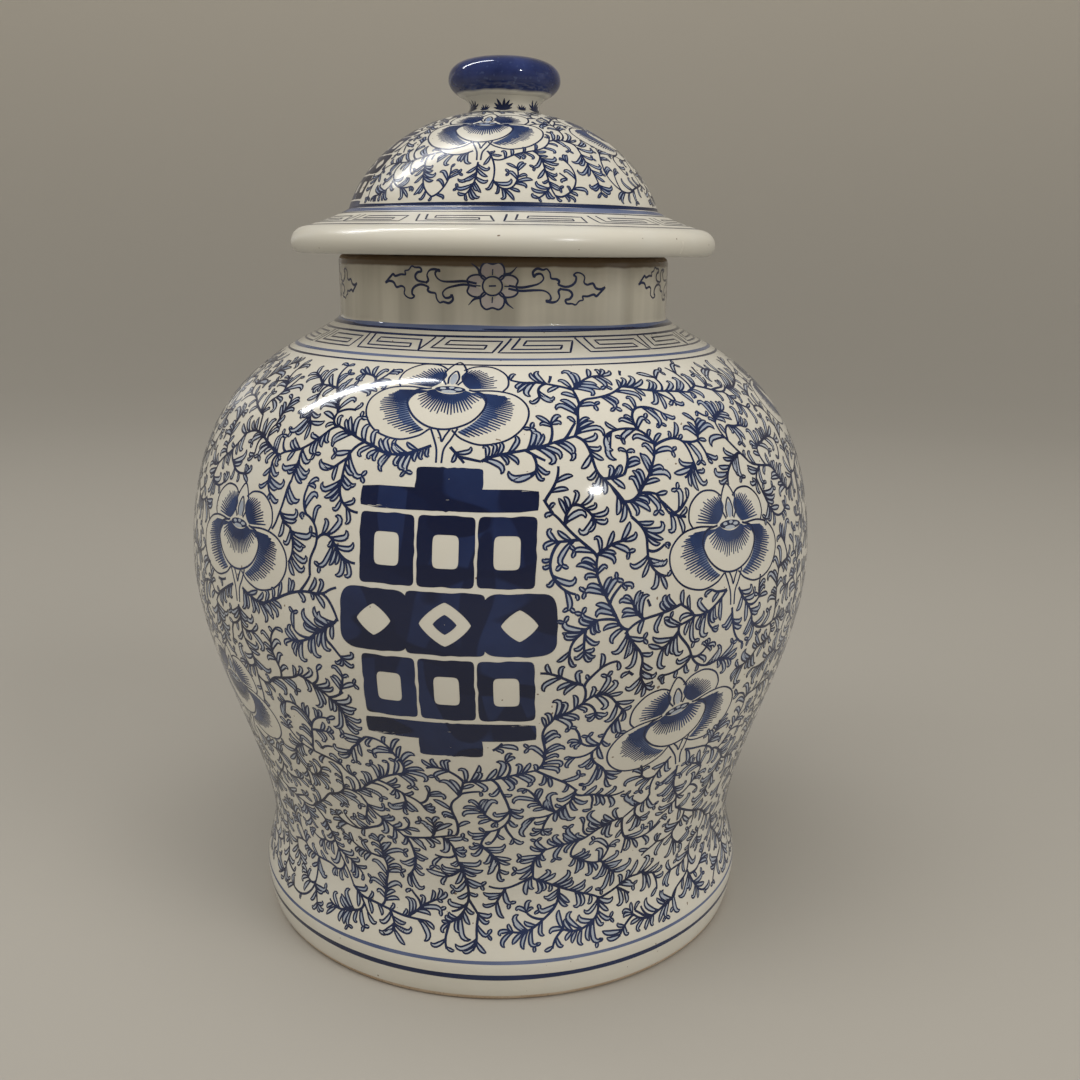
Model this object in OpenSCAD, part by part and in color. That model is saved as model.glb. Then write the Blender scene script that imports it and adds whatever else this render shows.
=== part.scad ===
// Covered ginger jar in glazed porcelain: a baluster body on a flared foot, a short upright neck,
// and a loose domed lid with a wide rounded brim, a locating collar and a bun-shaped knob.
// Origin: centre of the plane that the foot rests on. +Z is the jar's axis, upward. Millimetres.

/* [Body] */
// Outer radius at the widest line of the belly
belly_r = 110; // [106:1:114]
// Height of the belly's widest line, where the two halves of the body are luted together
belly_z = 132; // [126:1:136]
// Outer radius of the waist above the foot
waist_r = 86.7; // [83:0.1:89]
// Height of the waist
waist_z = 33.5; // [31:0.5:38]
// Outer radius of the flared foot
foot_r = 90.4; // [89:0.1:94]
// Height of the widest line of the flared foot
foot_z = 13; // [12:0.5:15]
// Thickness of the body's wall
body_wall = 5; // [4:0.5:6]

/* [Foot ring and base] */
// Height of the turned foot ring that the jar stands on
ring_h = 6; // [5:0.5:7]
// Width of the foot ring, measured on its flat resting face
ring_face_w = 7; // [5:0.5:9]
// Thickness of the slab that closes the jar's bottom
slab_t = 6; // [4:0.5:6]

/* [Neck] */
// Height where the neck is luted on the shoulder
neck_root_z = 213.5; // [212:0.5:216]
// Outer radius of the neck
neck_r = 57; // [55:0.5:59]
// Height of the neck's unglazed rim, which the lid rests on
neck_top_z = 235; // [232:0.5:238]
// Thickness of the neck's wall
neck_wall = 5; // [4.5:0.1:5.5]

/* [Lid] */
// Outer radius of the lid's brim
brim_r = 73; // [71:0.5:77]
// Thickness of the brim's rounded edge
brim_t = 8.7; // [8:0.1:9.5]
// Outer radius of the dome where it rises from the brim
dome_r = 53; // [52.5:0.1:54]
// Height of the dome's foot above the lid's underside
dome_foot_h = 14.6; // [14:0.1:15.5]
// Height of the dome's crown above the lid's underside
crown_h = 46; // [44:0.5:49]
// Thickness of the dome's wall
dome_wall = 4.8; // [4:0.1:5.2]
// Depth of the collar that keeps the lid on the neck
collar_h = 14; // [10:0.5:16]
// Play between the collar and the neck's bore, on the radius
collar_play = 3; // [2:0.1:3.4]
// Thickness of the collar's wall
collar_wall = 3.5; // [3:0.1:4]

/* [Knob] */
// Radius of the stem at its narrowest
stem_r = 11.8; // [10.5:0.1:12.4]
// Height of the stem
stem_h = 5; // [4:0.5:7]
// Radius of the bun
bun_r = 18.9; // [17.5:0.1:20]
// Height of the bun
bun_h = 13.2; // [11:0.1:15]

/* [Hidden] */
$fn = 96;

// Straight pieces that stand for a long and a short curve of an outline
long_steps = 22;
short_steps = 8;

// Foot: side radius at the top of the ring, flat resting face, and the slab's seat in the wall
foot_side_r = foot_r - 0.7;
ring_face_r = foot_r - 3.4;
ring_inner_r = ring_face_r - ring_face_w;
ring_chamfer = 1;
slab_r = foot_r - body_wall - 0.4;
slab_top_z = ring_h + slab_t;

// Neck: bore, root cove and the roundings of the rim
neck_bore_r = neck_r - neck_wall;
neck_root_r = neck_r + 1.2;
neck_cove_h = 2.2;
rim_outer_round = 2;
rim_inner_round = 1;

// Lid: the underside stands a hair above the rim, as two fired clay faces do
seat_gap = 0.15;
lid_z = neck_top_z + seat_gap;
dome_foot_z = lid_z + dome_foot_h;
crown_z = lid_z + crown_h;
collar_r = neck_bore_r - collar_play;
collar_inner_r = collar_r - collar_wall;
collar_round = 1.4;
brim_flat_r = brim_r - 3.4;
brim_lip_r = brim_r - 5;

// Knob: where the stem meets the crown and the bun
stem_foot_r = stem_r + 1.4;
stem_top_r = stem_r + 2;
stem_top_z = crown_z + stem_h;
stem_pull_r = (8 * stem_r - stem_foot_r - stem_top_r) / 6;
bun_wide_z = stem_top_z + 0.43 * bun_h;
bun_top_z = stem_top_z + bun_h;

// Handles of the body's curves, along the tangents at their ends, and the shoulder's slope
foot_handle = 2.4;
flare_handle = 4.5;
waist_low_handle = 6;
waist_high_handle = 27;
belly_low_handle = 32;
belly_high_handle = 66;
shoulder_handle = 14.5;
shoulder_slope = 39;

// Colours of the glazes and of the bare clay
porcelain = [0.90, 0.89, 0.86];
neck_glaze = [0.82, 0.80, 0.74];
cobalt = [0.13, 0.18, 0.46];
bare_clay = [0.72, 0.64, 0.54];

// Each curve is a cubic with four control points, given as [radius, height] from the foot upward
ring_curve = [
    [ring_face_r, 0],
    [ring_face_r + 1.6, 0],
    [foot_side_r - 0.4, ring_h - foot_handle],
    [foot_side_r, ring_h]
];
foot_curve = [
    [foot_side_r, ring_h],
    [foot_side_r + 0.4, ring_h + foot_handle],
    [foot_r, foot_z - foot_handle],
    [foot_r, foot_z]
];
flare_curve = [
    [foot_r, foot_z],
    [foot_r, foot_z + flare_handle],
    [waist_r, waist_z - waist_low_handle],
    [waist_r, waist_z]
];
flank_curve = [
    [waist_r, waist_z],
    [waist_r, waist_z + waist_high_handle],
    [belly_r, belly_z - belly_low_handle],
    [belly_r, belly_z]
];
shoulder_curve = [
    [belly_r, belly_z],
    [belly_r, belly_z + belly_high_handle],
    [neck_root_r, neck_root_z] + shoulder_handle * [cos(shoulder_slope), -sin(shoulder_slope)],
    [neck_root_r, neck_root_z]
];
cove_curve = [
    [neck_root_r, neck_root_z],
    [neck_root_r - 0.9, neck_root_z + 0.5],
    [neck_r, neck_root_z + neck_cove_h / 2],
    [neck_r, neck_root_z + neck_cove_h]
];
brim_edge_curve = [
    [brim_flat_r, lid_z],
    [brim_r + 1.1, lid_z],
    [brim_r + 1.1, lid_z + brim_t - 0.9],
    [brim_lip_r, lid_z + brim_t]
];
brim_slope_curve = [
    [brim_lip_r, lid_z + brim_t],
    [brim_lip_r - 3.5, lid_z + brim_t + 0.9],
    [dome_r + 3.5, dome_foot_z - 2.2],
    [dome_r, dome_foot_z]
];
dome_curve = [
    [dome_r, dome_foot_z],
    [dome_r - 3.5, dome_foot_z + 12.2],
    [stem_foot_r + 21.8, crown_z - 3.7],
    [stem_foot_r, crown_z]
];
stem_curve = [
    [stem_foot_r, crown_z],
    [stem_pull_r, crown_z + 0.3 * stem_h],
    [stem_pull_r, crown_z + 0.6 * stem_h],
    [stem_top_r, stem_top_z]
];
bun_low_curve = [
    [stem_top_r, stem_top_z],
    [stem_top_r + 2.4, stem_top_z + 1],
    [bun_r, stem_top_z + 0.22 * bun_h],
    [bun_r, bun_wide_z]
];
bun_high_curve = [
    [bun_r, bun_wide_z],
    [bun_r, bun_wide_z + 0.4 * bun_h],
    [0.71 * bun_r, bun_top_z],
    [0, bun_top_z]
];

// Point at t, from 0 to 1, on the cubic curve with control points p
function curve_point(p, t) =
    pow(1 - t, 3) * p[0] + 3 * pow(1 - t, 2) * t * p[1]
    + 3 * (1 - t) * pow(t, 2) * p[2] + pow(t, 3) * p[3];

// Direction of the same curve at t
function curve_slope(p, t) =
    pow(1 - t, 2) * (p[1] - p[0]) + 2 * (1 - t) * t * (p[2] - p[1]) + pow(t, 2) * (p[3] - p[2]);

// The curve as points, without its first one, which the outline before it already holds
function curve(p, steps) = [for (i = [1 : steps]) curve_point(p, i / steps)];

// The curve moved towards the axis by a wall's thickness, at right angles to itself, from its
// upper end down to its lower one
function inner_curve(p, wall, steps) = [
    for (i = [steps : -1 : 0])
        let (t = i / steps, d = curve_slope(p, t))
            curve_point(p, t) + wall * [-d[1], d[0]] / norm(d)
];

// A quarter of a round corner about centre c, from angle a, without its first point
function corner(c, r, a) = [
    for (i = [1 : short_steps])
        c + r * [cos(a + 90 * i / short_steps), sin(a + 90 * i / short_steps)]
];

// A solid of revolution about the jar's axis
module turned(outline) {
    rotate_extrude() polygon(outline);
}

// Turned ring that the jar stands on, with a flat unglazed face
module foot_ring() {
    color(bare_clay)
        turned(concat(
            [[ring_face_r, 0]],
            curve(ring_curve, short_steps),
            [
                [ring_inner_r, ring_h],
                [ring_inner_r, ring_chamfer],
                [ring_inner_r + ring_chamfer, 0]
            ]
        ));
}

// Disc luted inside the foot of the wall, on top of the ring
module base_slab() {
    color(porcelain)
        translate([0, 0, ring_h])
            cylinder(h = slab_t, r = slab_r);
}

// Lower half of the body, from the foot ring to the belly
module lower_wall() {
    color(porcelain)
        turned(concat(
            [[slab_r, ring_h], [foot_side_r, ring_h]],
            curve(foot_curve, short_steps),
            curve(flare_curve, short_steps),
            curve(flank_curve, long_steps),
            inner_curve(flank_curve, body_wall, long_steps),
            [[slab_r, slab_top_z]]
        ));
}

// Upper half of the body, from the belly over the shoulder to the neck
module upper_wall() {
    color(porcelain)
        turned(concat(
            [[belly_r, belly_z]],
            curve(shoulder_curve, long_steps),
            [[neck_bore_r, neck_root_z]],
            [[neck_bore_r, neck_root_z - 1.4]],
            inner_curve(shoulder_curve, body_wall, long_steps)
        ));
}

// Short upright neck, bare and rounded along its rim
module neck() {
    color(neck_glaze)
        turned(concat(
            [[neck_bore_r, neck_root_z], [neck_root_r, neck_root_z]],
            curve(cove_curve, short_steps),
            [[neck_r, neck_top_z - rim_outer_round]],
            corner([neck_r - rim_outer_round, neck_top_z - rim_outer_round], rim_outer_round, 0),
            [[neck_bore_r + rim_inner_round, neck_top_z]],
            corner([neck_bore_r + rim_inner_round, neck_top_z - rim_inner_round], rim_inner_round, 90)
        ));
}

// Domed shell of the lid with its wide, thick brim
module lid_dome() {
    color(porcelain)
        turned(concat(
            [[collar_inner_r, lid_z], [brim_flat_r, lid_z]],
            curve(brim_edge_curve, short_steps * 2),
            curve(brim_slope_curve, short_steps),
            curve(dome_curve, long_steps),
            [[0, crown_z], [0, crown_z - dome_wall]],
            inner_curve(dome_curve, dome_wall, long_steps),
            [[collar_inner_r, dome_foot_z - dome_wall * 2]]
        ));
}

// Ring under the lid that drops into the neck's bore
module lid_collar() {
    color(bare_clay)
        turned(concat(
            [[collar_r, lid_z], [collar_inner_r, lid_z]],
            [[collar_inner_r, lid_z - collar_h + collar_round]],
            corner([collar_inner_r + collar_round, lid_z - collar_h + collar_round], collar_round, 180),
            [[collar_r - collar_round, lid_z - collar_h]],
            corner([collar_r - collar_round, lid_z - collar_h + collar_round], collar_round, 270)
        ));
}

// Waisted stem luted on the lid's crown
module knob_stem() {
    color(porcelain)
        turned(concat(
            [[0, crown_z], [stem_foot_r, crown_z]],
            curve(stem_curve, short_steps),
            [[0, stem_top_z]]
        ));
}

// Bun that a hand lifts the lid by
module knob_bun() {
    color(cobalt)
        turned(concat(
            [[0, stem_top_z], [stem_top_r, stem_top_z]],
            curve(bun_low_curve, short_steps),
            curve(bun_high_curve, short_steps * 2)
        ));
}

foot_ring();
base_slab();
lower_wall();
upper_wall();
neck();
lid_dome();
lid_collar();
knob_stem();
knob_bun();
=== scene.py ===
"""A covered ginger jar in blue-and-white porcelain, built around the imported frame.

Every glazed wall is turned from the same outline curves as the frame's nodes. The painting is laid on
the glaze as thin sheets that follow the wall: rings, frets, flowers, lattice panels and leafy vines.
Sizes are millimetres until a mesh is made. A place on a wall is (angle, run): the angle round the axis
from the jar's front, and the length along the wall from its foot.
"""
import math

import bpy
import numpy as np
from mathutils import Matrix, Vector


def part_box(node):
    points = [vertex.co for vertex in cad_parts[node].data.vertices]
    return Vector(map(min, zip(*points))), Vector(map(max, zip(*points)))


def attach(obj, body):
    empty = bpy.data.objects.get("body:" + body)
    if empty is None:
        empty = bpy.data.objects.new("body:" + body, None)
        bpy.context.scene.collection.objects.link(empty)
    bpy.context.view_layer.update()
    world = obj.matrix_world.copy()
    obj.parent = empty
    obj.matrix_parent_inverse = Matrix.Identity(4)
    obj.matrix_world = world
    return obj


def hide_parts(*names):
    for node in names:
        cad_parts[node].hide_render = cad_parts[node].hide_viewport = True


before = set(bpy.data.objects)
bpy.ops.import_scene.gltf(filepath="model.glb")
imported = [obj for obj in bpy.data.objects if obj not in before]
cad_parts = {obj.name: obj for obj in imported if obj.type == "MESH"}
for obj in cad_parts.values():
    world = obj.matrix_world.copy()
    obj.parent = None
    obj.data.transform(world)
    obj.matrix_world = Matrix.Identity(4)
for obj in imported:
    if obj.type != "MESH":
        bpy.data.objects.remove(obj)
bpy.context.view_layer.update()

MM = 0.001
TAU = 2 * math.pi
ROUND = 240

# ---------------------------------------------------------------- sizes, from the frame's nodes


def low_z(node):
    """Height of a node's underside."""
    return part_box(node)[0].z / MM


def high_z(node):
    """Height of a node's top."""
    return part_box(node)[1].z / MM


def reach(node):
    """Largest radius of a node."""
    return max(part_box(node)[1].x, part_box(node)[1].y) / MM


RING_H = high_z("foot_ring")
FOOT_SIDE_R = reach("foot_ring")
RING_FACE_R = FOOT_SIDE_R - 2.7
RING_INNER_R = RING_FACE_R - 7
RING_CHAMFER = 1
SLAB_R = reach("base_slab")
SLAB_TOP_Z = high_z("base_slab")
FOOT_R = FOOT_SIDE_R + 0.7
FOOT_Z = RING_H + 7
WAIST_R = FOOT_R - 3.7
WAIST_Z = 33.5
BELLY_R = reach("upper_wall")
BELLY_Z = low_z("upper_wall")
BODY_WALL = 5
NECK_ROOT_Z = low_z("neck")
NECK_ROOT_R = reach("neck")
NECK_R = NECK_ROOT_R - 1.2
NECK_BORE_R = NECK_R - BODY_WALL
BORE_LIP = 1.4
COVE_H = 2.2
NECK_TOP_Z = high_z("neck")
RIM_OUTER_ROUND = 2
RIM_INNER_ROUND = 1
LID_Z = low_z("lid_dome")
CROWN_Z = high_z("lid_dome")
BRIM_R = 73
BRIM_T = 8.7
BRIM_FLAT_R = BRIM_R - 3.4
BRIM_LIP_R = BRIM_R - 5
BRIM_BARE_R = BRIM_FLAT_R - 8
DOME_R = 53
DOME_FOOT_Z = LID_Z + 14.6
DOME_WALL = 4.8
COLLAR_R = reach("lid_collar")
COLLAR_INNER_R = COLLAR_R - 3.5
COLLAR_Z = low_z("lid_collar")
COLLAR_ROUND = 1.4
STEM_FOOT_R = 13.2
STEM_TOP_R = 13.8
STEM_PULL_R = 11.23
STEM_TOP_Z = low_z("knob_bun")
BUN_R = reach("knob_bun")
BUN_TOP_Z = high_z("knob_bun")
BUN_H = BUN_TOP_Z - STEM_TOP_Z
BUN_WIDE_Z = STEM_TOP_Z + 0.43 * BUN_H
SHOULDER_PULL = 14.5 * np.array([math.cos(math.radians(39)), -math.sin(math.radians(39))])

# The outlines' cubic curves, each with four control points as [radius, height], from the foot upward
RING = [[RING_FACE_R, 0], [RING_FACE_R + 1.6, 0], [FOOT_SIDE_R - 0.4, RING_H - 2.4], [FOOT_SIDE_R, RING_H]]
FOOT = [[FOOT_SIDE_R, RING_H], [FOOT_SIDE_R + 0.4, RING_H + 2.4], [FOOT_R, FOOT_Z - 2.4], [FOOT_R, FOOT_Z]]
FLARE = [[FOOT_R, FOOT_Z], [FOOT_R, FOOT_Z + 4.5], [WAIST_R, WAIST_Z - 6], [WAIST_R, WAIST_Z]]
FLANK = [[WAIST_R, WAIST_Z], [WAIST_R, WAIST_Z + 27], [BELLY_R, BELLY_Z - 32], [BELLY_R, BELLY_Z]]
SHOULDER = [
    [BELLY_R, BELLY_Z],
    [BELLY_R, BELLY_Z + 66],
    [NECK_ROOT_R + SHOULDER_PULL[0], NECK_ROOT_Z + SHOULDER_PULL[1]],
    [NECK_ROOT_R, NECK_ROOT_Z],
]
COVE = [
    [NECK_ROOT_R, NECK_ROOT_Z],
    [NECK_ROOT_R - 0.9, NECK_ROOT_Z + 0.5],
    [NECK_R, NECK_ROOT_Z + 1.1],
    [NECK_R, NECK_ROOT_Z + COVE_H],
]
BRIM_EDGE = [
    [BRIM_FLAT_R, LID_Z],
    [BRIM_R + 1.1, LID_Z],
    [BRIM_R + 1.1, LID_Z + BRIM_T - 0.9],
    [BRIM_LIP_R, LID_Z + BRIM_T],
]
BRIM_SLOPE = [
    [BRIM_LIP_R, LID_Z + BRIM_T],
    [BRIM_LIP_R - 3.5, LID_Z + BRIM_T + 0.9],
    [DOME_R + 3.5, DOME_FOOT_Z - 2.2],
    [DOME_R, DOME_FOOT_Z],
]
DOME = [
    [DOME_R, DOME_FOOT_Z],
    [DOME_R - 3.5, DOME_FOOT_Z + 12.2],
    [STEM_FOOT_R + 21.8, CROWN_Z - 3.7],
    [STEM_FOOT_R, CROWN_Z],
]
STEM = [
    [STEM_FOOT_R, CROWN_Z],
    [STEM_PULL_R, CROWN_Z + 1.5],
    [STEM_PULL_R, CROWN_Z + 3],
    [STEM_TOP_R, STEM_TOP_Z],
]
BUN_LOW = [
    [STEM_TOP_R, STEM_TOP_Z],
    [STEM_TOP_R + 2.4, STEM_TOP_Z + 1],
    [BUN_R, STEM_TOP_Z + 0.22 * BUN_H],
    [BUN_R, BUN_WIDE_Z],
]
BUN_HIGH = [
    [BUN_R, BUN_WIDE_Z],
    [BUN_R, BUN_WIDE_Z + 0.4 * BUN_H],
    [0.71 * BUN_R, BUN_TOP_Z],
    [0, BUN_TOP_Z],
]


# ---------------------------------------------------------------- outlines


def on_cubic(points, t):
    """Points of a cubic curve at shares t of the way along it."""
    p = np.array(points, float)
    t = t[:, None]
    return (1 - t) ** 3 * p[0] + 3 * (1 - t) ** 2 * t * p[1] + 3 * (1 - t) * t**2 * p[2] + t**3 * p[3]


def cubic(points, steps):
    """Points along a cubic curve, and its direction at each."""
    p = np.array(points, float)
    t = np.linspace(0, 1, steps + 1)
    at = on_cubic(p, t)
    t = t[:, None]
    slope = (1 - t) ** 2 * (p[1] - p[0]) + 2 * (1 - t) * t * (p[2] - p[1]) + t**2 * (p[3] - p[2])
    return at, slope


def facing(slope):
    """Outward direction of an outline that goes up on the jar's outside."""
    out = np.stack([slope[..., 1], -slope[..., 0]], -1)
    return out / np.linalg.norm(out, axis=-1, keepdims=True)


def bend(curve, steps, zone, skin=None):
    """A section along a curve: its points, outward directions, material zone and skin."""
    at, slope = cubic(curve, steps)
    return at, facing(slope), zone, skin


def straight(a, b, zone, steps=1, skin=None):
    """A straight section from a to b."""
    t = np.linspace(0, 1, steps + 1)[:, None]
    a, b = np.array(a, float), np.array(b, float)
    at = a + t * (b - a)
    return at, facing(np.repeat((b - a)[None], steps + 1, 0)), zone, skin


def path(zone, *corners):
    """Straight sections from corner to corner."""
    return [straight(a, b, zone) for a, b in zip(corners, corners[1:])]


def inside(curve, wall, steps, zone):
    """The curve moved in by a wall's thickness, from its upper end down."""
    at, slope = cubic(curve, steps)
    out = facing(slope)
    return (at - wall * out)[::-1], -out[::-1], zone, None


def corner(centre, r, start, zone, steps=8):
    """A quarter round about centre, from the angle start in degrees."""
    a = np.radians(start + np.linspace(0, 90, steps + 1))
    out = np.stack([np.cos(a), np.sin(a)], -1)
    return np.array(centre, float) + r * out, out, zone, None


def cut(section, z, zone_low, zone_high, skin):
    """Cuts a rising section at a height into a plain lower zone and an upper one on the skin."""
    at, out = section[:2]
    k = int(np.argmin(abs(at[:, 1] - z)))
    return (at[: k + 1], out[: k + 1], zone_low, None), (at[k:], out[k:], zone_high, skin)


# ---------------------------------------------------------------- walls


def ripple(angle, run):
    """How far the thrower's hand left the wall proud, and its slopes along the run and the angle."""
    rings = TAU * run / 13 + 1.1 * np.sin(3 * angle)
    swells = TAU * run / 41 + np.sin(2 * angle + 1.3)
    twist = 5 * angle + TAU * run / 120
    height = 0.008 * np.sin(rings) + 0.04 * np.sin(swells) + 0.05 * np.sin(twist)
    along = TAU * (0.008 / 13 * np.cos(rings) + 0.04 / 41 * np.cos(swells) + 0.05 / 120 * np.cos(twist))
    across = 0.008 * 3.3 * np.cos(3 * angle) * np.cos(rings) + 0.25 * np.cos(twist)
    across = across + 0.04 * 2 * np.cos(2 * angle + 1.3) * np.cos(swells)
    return height, along, across


class Skin:
    """The outside of a turned wall, which painting follows."""

    def __init__(self, *curves):
        parts = [cubic(c, 160) for c in curves]
        at = np.vstack([p[0] for p in parts])
        out = np.vstack([facing(p[1]) for p in parts])
        keep = np.r_[True, np.linalg.norm(np.diff(at, axis=0), axis=1) > 1e-6]
        self.at, self.out = at[keep], out[keep]
        self.run = np.r_[0, np.cumsum(np.linalg.norm(np.diff(self.at, axis=0), axis=1))]
        tilt = np.arctan2(self.out[:, 1], self.out[:, 0])
        self.hollow = np.maximum(0, -np.gradient(tilt, self.run))

    def rise(self, run, width):
        """How far a flat strip across a hollow stretch stands off it."""
        return np.interp(run, self.run, self.hollow) * width**2 / 8

    def radius(self, run):
        """Distance from the axis at a run."""
        return np.interp(run, self.run, self.at[:, 0])

    def run_at(self, z):
        """Run at a height: the wall rises all the way."""
        return np.interp(z, self.at[:, 1], self.run)

    def place(self, angle, run, lift):
        """Points, and unit normals, of places lifted off the wall by a hair."""
        r, z, out_r, out_z = (np.interp(run, self.run, values) for values in (*self.at.T, *self.out.T))
        height, along, across = ripple(angle, run)
        sin, cos = np.sin(angle), np.cos(angle)
        r_at = r + (height + lift) * out_r
        points = np.stack([r_at * sin, -r_at * cos, z + (height + lift) * out_z], -1)
        across = across / np.maximum(r, 5)
        n_r = out_r + along * out_z
        n_z = out_z - along * out_r
        normals = np.stack([n_r * sin - across * cos, -n_r * cos - across * sin, n_z], -1)
        return points, normals / np.linalg.norm(normals, axis=-1, keepdims=True)


AXIS_R = 1e-6


def link(name, data):
    """A new object in the scene."""
    made = bpy.data.objects.new(name, data)
    bpy.context.scene.collection.objects.link(made)
    return made


def mesh_piece(name, points, corners, sizes, normals, zones, materials):
    """A mesh object from arrays: each face takes its size's share of the corners and their normals."""
    mesh = bpy.data.meshes.new(name)
    mesh.vertices.add(len(points))
    mesh.vertices.foreach_set("co", (points * MM).astype(np.float32).ravel())
    mesh.loops.add(len(corners))
    mesh.loops.foreach_set("vertex_index", corners.astype(np.int32))
    mesh.polygons.add(len(sizes))
    starts = np.r_[0, np.cumsum(sizes)[:-1]]
    mesh.polygons.foreach_set("loop_start", starts.astype(np.int32))
    mesh.polygons.foreach_set("use_smooth", np.ones(len(sizes), bool))
    for m in materials:
        mesh.materials.append(m)
    mesh.polygons.foreach_set("material_index", zones.astype(np.int32))
    mesh.update(calc_edges=True)
    mesh.normals_split_custom_set(normals.astype(np.float32))
    return link(name, mesh)


def turned(name, body, node, sections, materials, around=ROUND):
    """A closed solid of revolution that stands for a node. Its sections run up the outside, in over
    the top and down the inside."""
    angle = np.arange(around) * TAU / around
    sin, cos = np.sin(angle), np.cos(angle)
    this = np.arange(around)
    then = (this + 1) % around

    def revolved(section, i):
        """The points and normals round the axis of a section's point i."""
        at, out, _, skin = section
        if skin:
            return skin.place(angle, np.full(around, skin.run_at(at[i][1])), 0)
        points = np.stack([at[i][0] * sin, -at[i][0] * cos, np.full(around, at[i][1])], -1)
        return points, np.stack([out[i][0] * sin, -out[i][0] * cos, np.full(around, out[i][1])], -1)

    rings, points, count = {}, [], 0
    for k, section in enumerate(sections):
        before = sections[k - 1]
        on_axis = k == 0 and section[0][0][0] < AXIS_R
        for i in range(len(section[0]) - 1):
            shared = i == 0 and before[3] and not section[3] and not on_axis
            ring = revolved(before, -1)[0] if shared else revolved(section, i)[0]
            single = section[0][i][0] < AXIS_R
            rings[k, i] = (count, single)
            points.append(ring[:1] if single else ring)
            count += 1 if single else around
    last = sections[-1][0][-1]
    end = (count, True)
    if last[0] < AXIS_R:
        points.append(np.array([[0, 0, last[1]]]))
    corners, sizes, normals, zones = [], [], [], []
    for k, section in enumerate(sections):
        steps = len(section[0]) - 1
        for i in range(steps):
            following = rings.get((k, i + 1)) or rings.get((k + 1, 0))
            if following is None:
                following = end if last[0] < AXIS_R else rings[0, 0]
            (a, a_single), (b, b_single) = rings[k, i], following
            out_a, out_b = revolved(section, i)[1], revolved(section, i + 1)[1]
            quad = [np.full(around, a)] if a_single else [a + this, a + then]
            quad += [np.full(around, b)] if b_single else [b + then, b + this]
            turn = [out_a] if a_single else [out_a, out_a[then]]
            turn += [out_b] if b_single else [out_b[then], out_b]
            corners.append(np.stack(quad, 1).ravel())
            normals.append(np.stack(turn, 1).reshape(-1, 3))
            sizes.append(np.full(around, len(quad)))
            zones.append(np.full(around, section[2]))
    corners, sizes, zones = (np.concatenate(lists) for lists in (corners, sizes, zones))
    piece = mesh_piece(name, np.vstack(points), corners, sizes, np.vstack(normals), zones, materials)
    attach(piece, body)
    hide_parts(node)


class Paint:
    """Thin painted sheets gathered for one piece."""

    def __init__(self, skin):
        self.skin = skin
        self.points, self.normals, self.corners = [], [], []
        self.count = 0

    def add(self, patches, lift):
        """Adds patches (..., m, k, 2): each is a grid of m by k places."""
        patches = patches.reshape((-1,) + patches.shape[-3:])
        n, m, k, _ = patches.shape
        points, normals = self.skin.place(patches[..., 0], patches[..., 1], lift)
        index = np.arange(n * m * k).reshape(n, m, k)
        quads = [index[:, :-1, :-1], index[:, :-1, 1:], index[:, 1:, 1:], index[:, 1:, :-1]]
        quads = np.stack(quads, -1).reshape(-1, 4)
        flat, out = points.reshape(-1, 3), normals.reshape(-1, 3)
        cross = np.cross(flat[quads[:, 2]] - flat[quads[:, 0]], flat[quads[:, 3]] - flat[quads[:, 1]])
        wrong = (cross * out[quads[:, 0]]).sum(1) < 0
        quads[wrong] = quads[wrong][:, ::-1]
        self.points.append(flat)
        self.normals.append(out)
        self.corners.append(quads + self.count)
        self.count += len(flat)

    def piece(self, name, body, slot, material):
        """Makes one mesh of all the sheets."""
        quads = np.vstack(self.corners)
        corners, normals = quads.ravel(), np.vstack(self.normals)
        sizes, zones = np.full(len(quads), 4), np.zeros(len(quads))
        made = mesh_piece(name, np.vstack(self.points), corners, sizes, normals[corners], zones, [material])
        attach(made, body)


class Paints:
    """A wall's paints, one for each piece of its flowers, vines and lattice panels."""

    def __init__(self, skin):
        self.line, self.stroke, self.wash, self.vine, self.leaf, self.block = (Paint(skin) for _ in range(6))

    def pieces(self, part, body, wall_inks):
        """Makes the pieces, named after the part of the jar they are on."""
        for paint, name, ink in (
            (self.line, "flower_outlines", "line"),
            (self.stroke, "petal_strokes", "stroke"),
            (self.wash, "petal_washes", "petal"),
            (self.vine, "vine_lines", "line"),
            (self.leaf, "leaf_washes", "leaf"),
            (self.block, "lattice_panels", "block"),
        ):
            paint.piece(f"{part}_{name}", body, "painted_porcelain", wall_inks[ink])


# ---------------------------------------------------------------- materials


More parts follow.
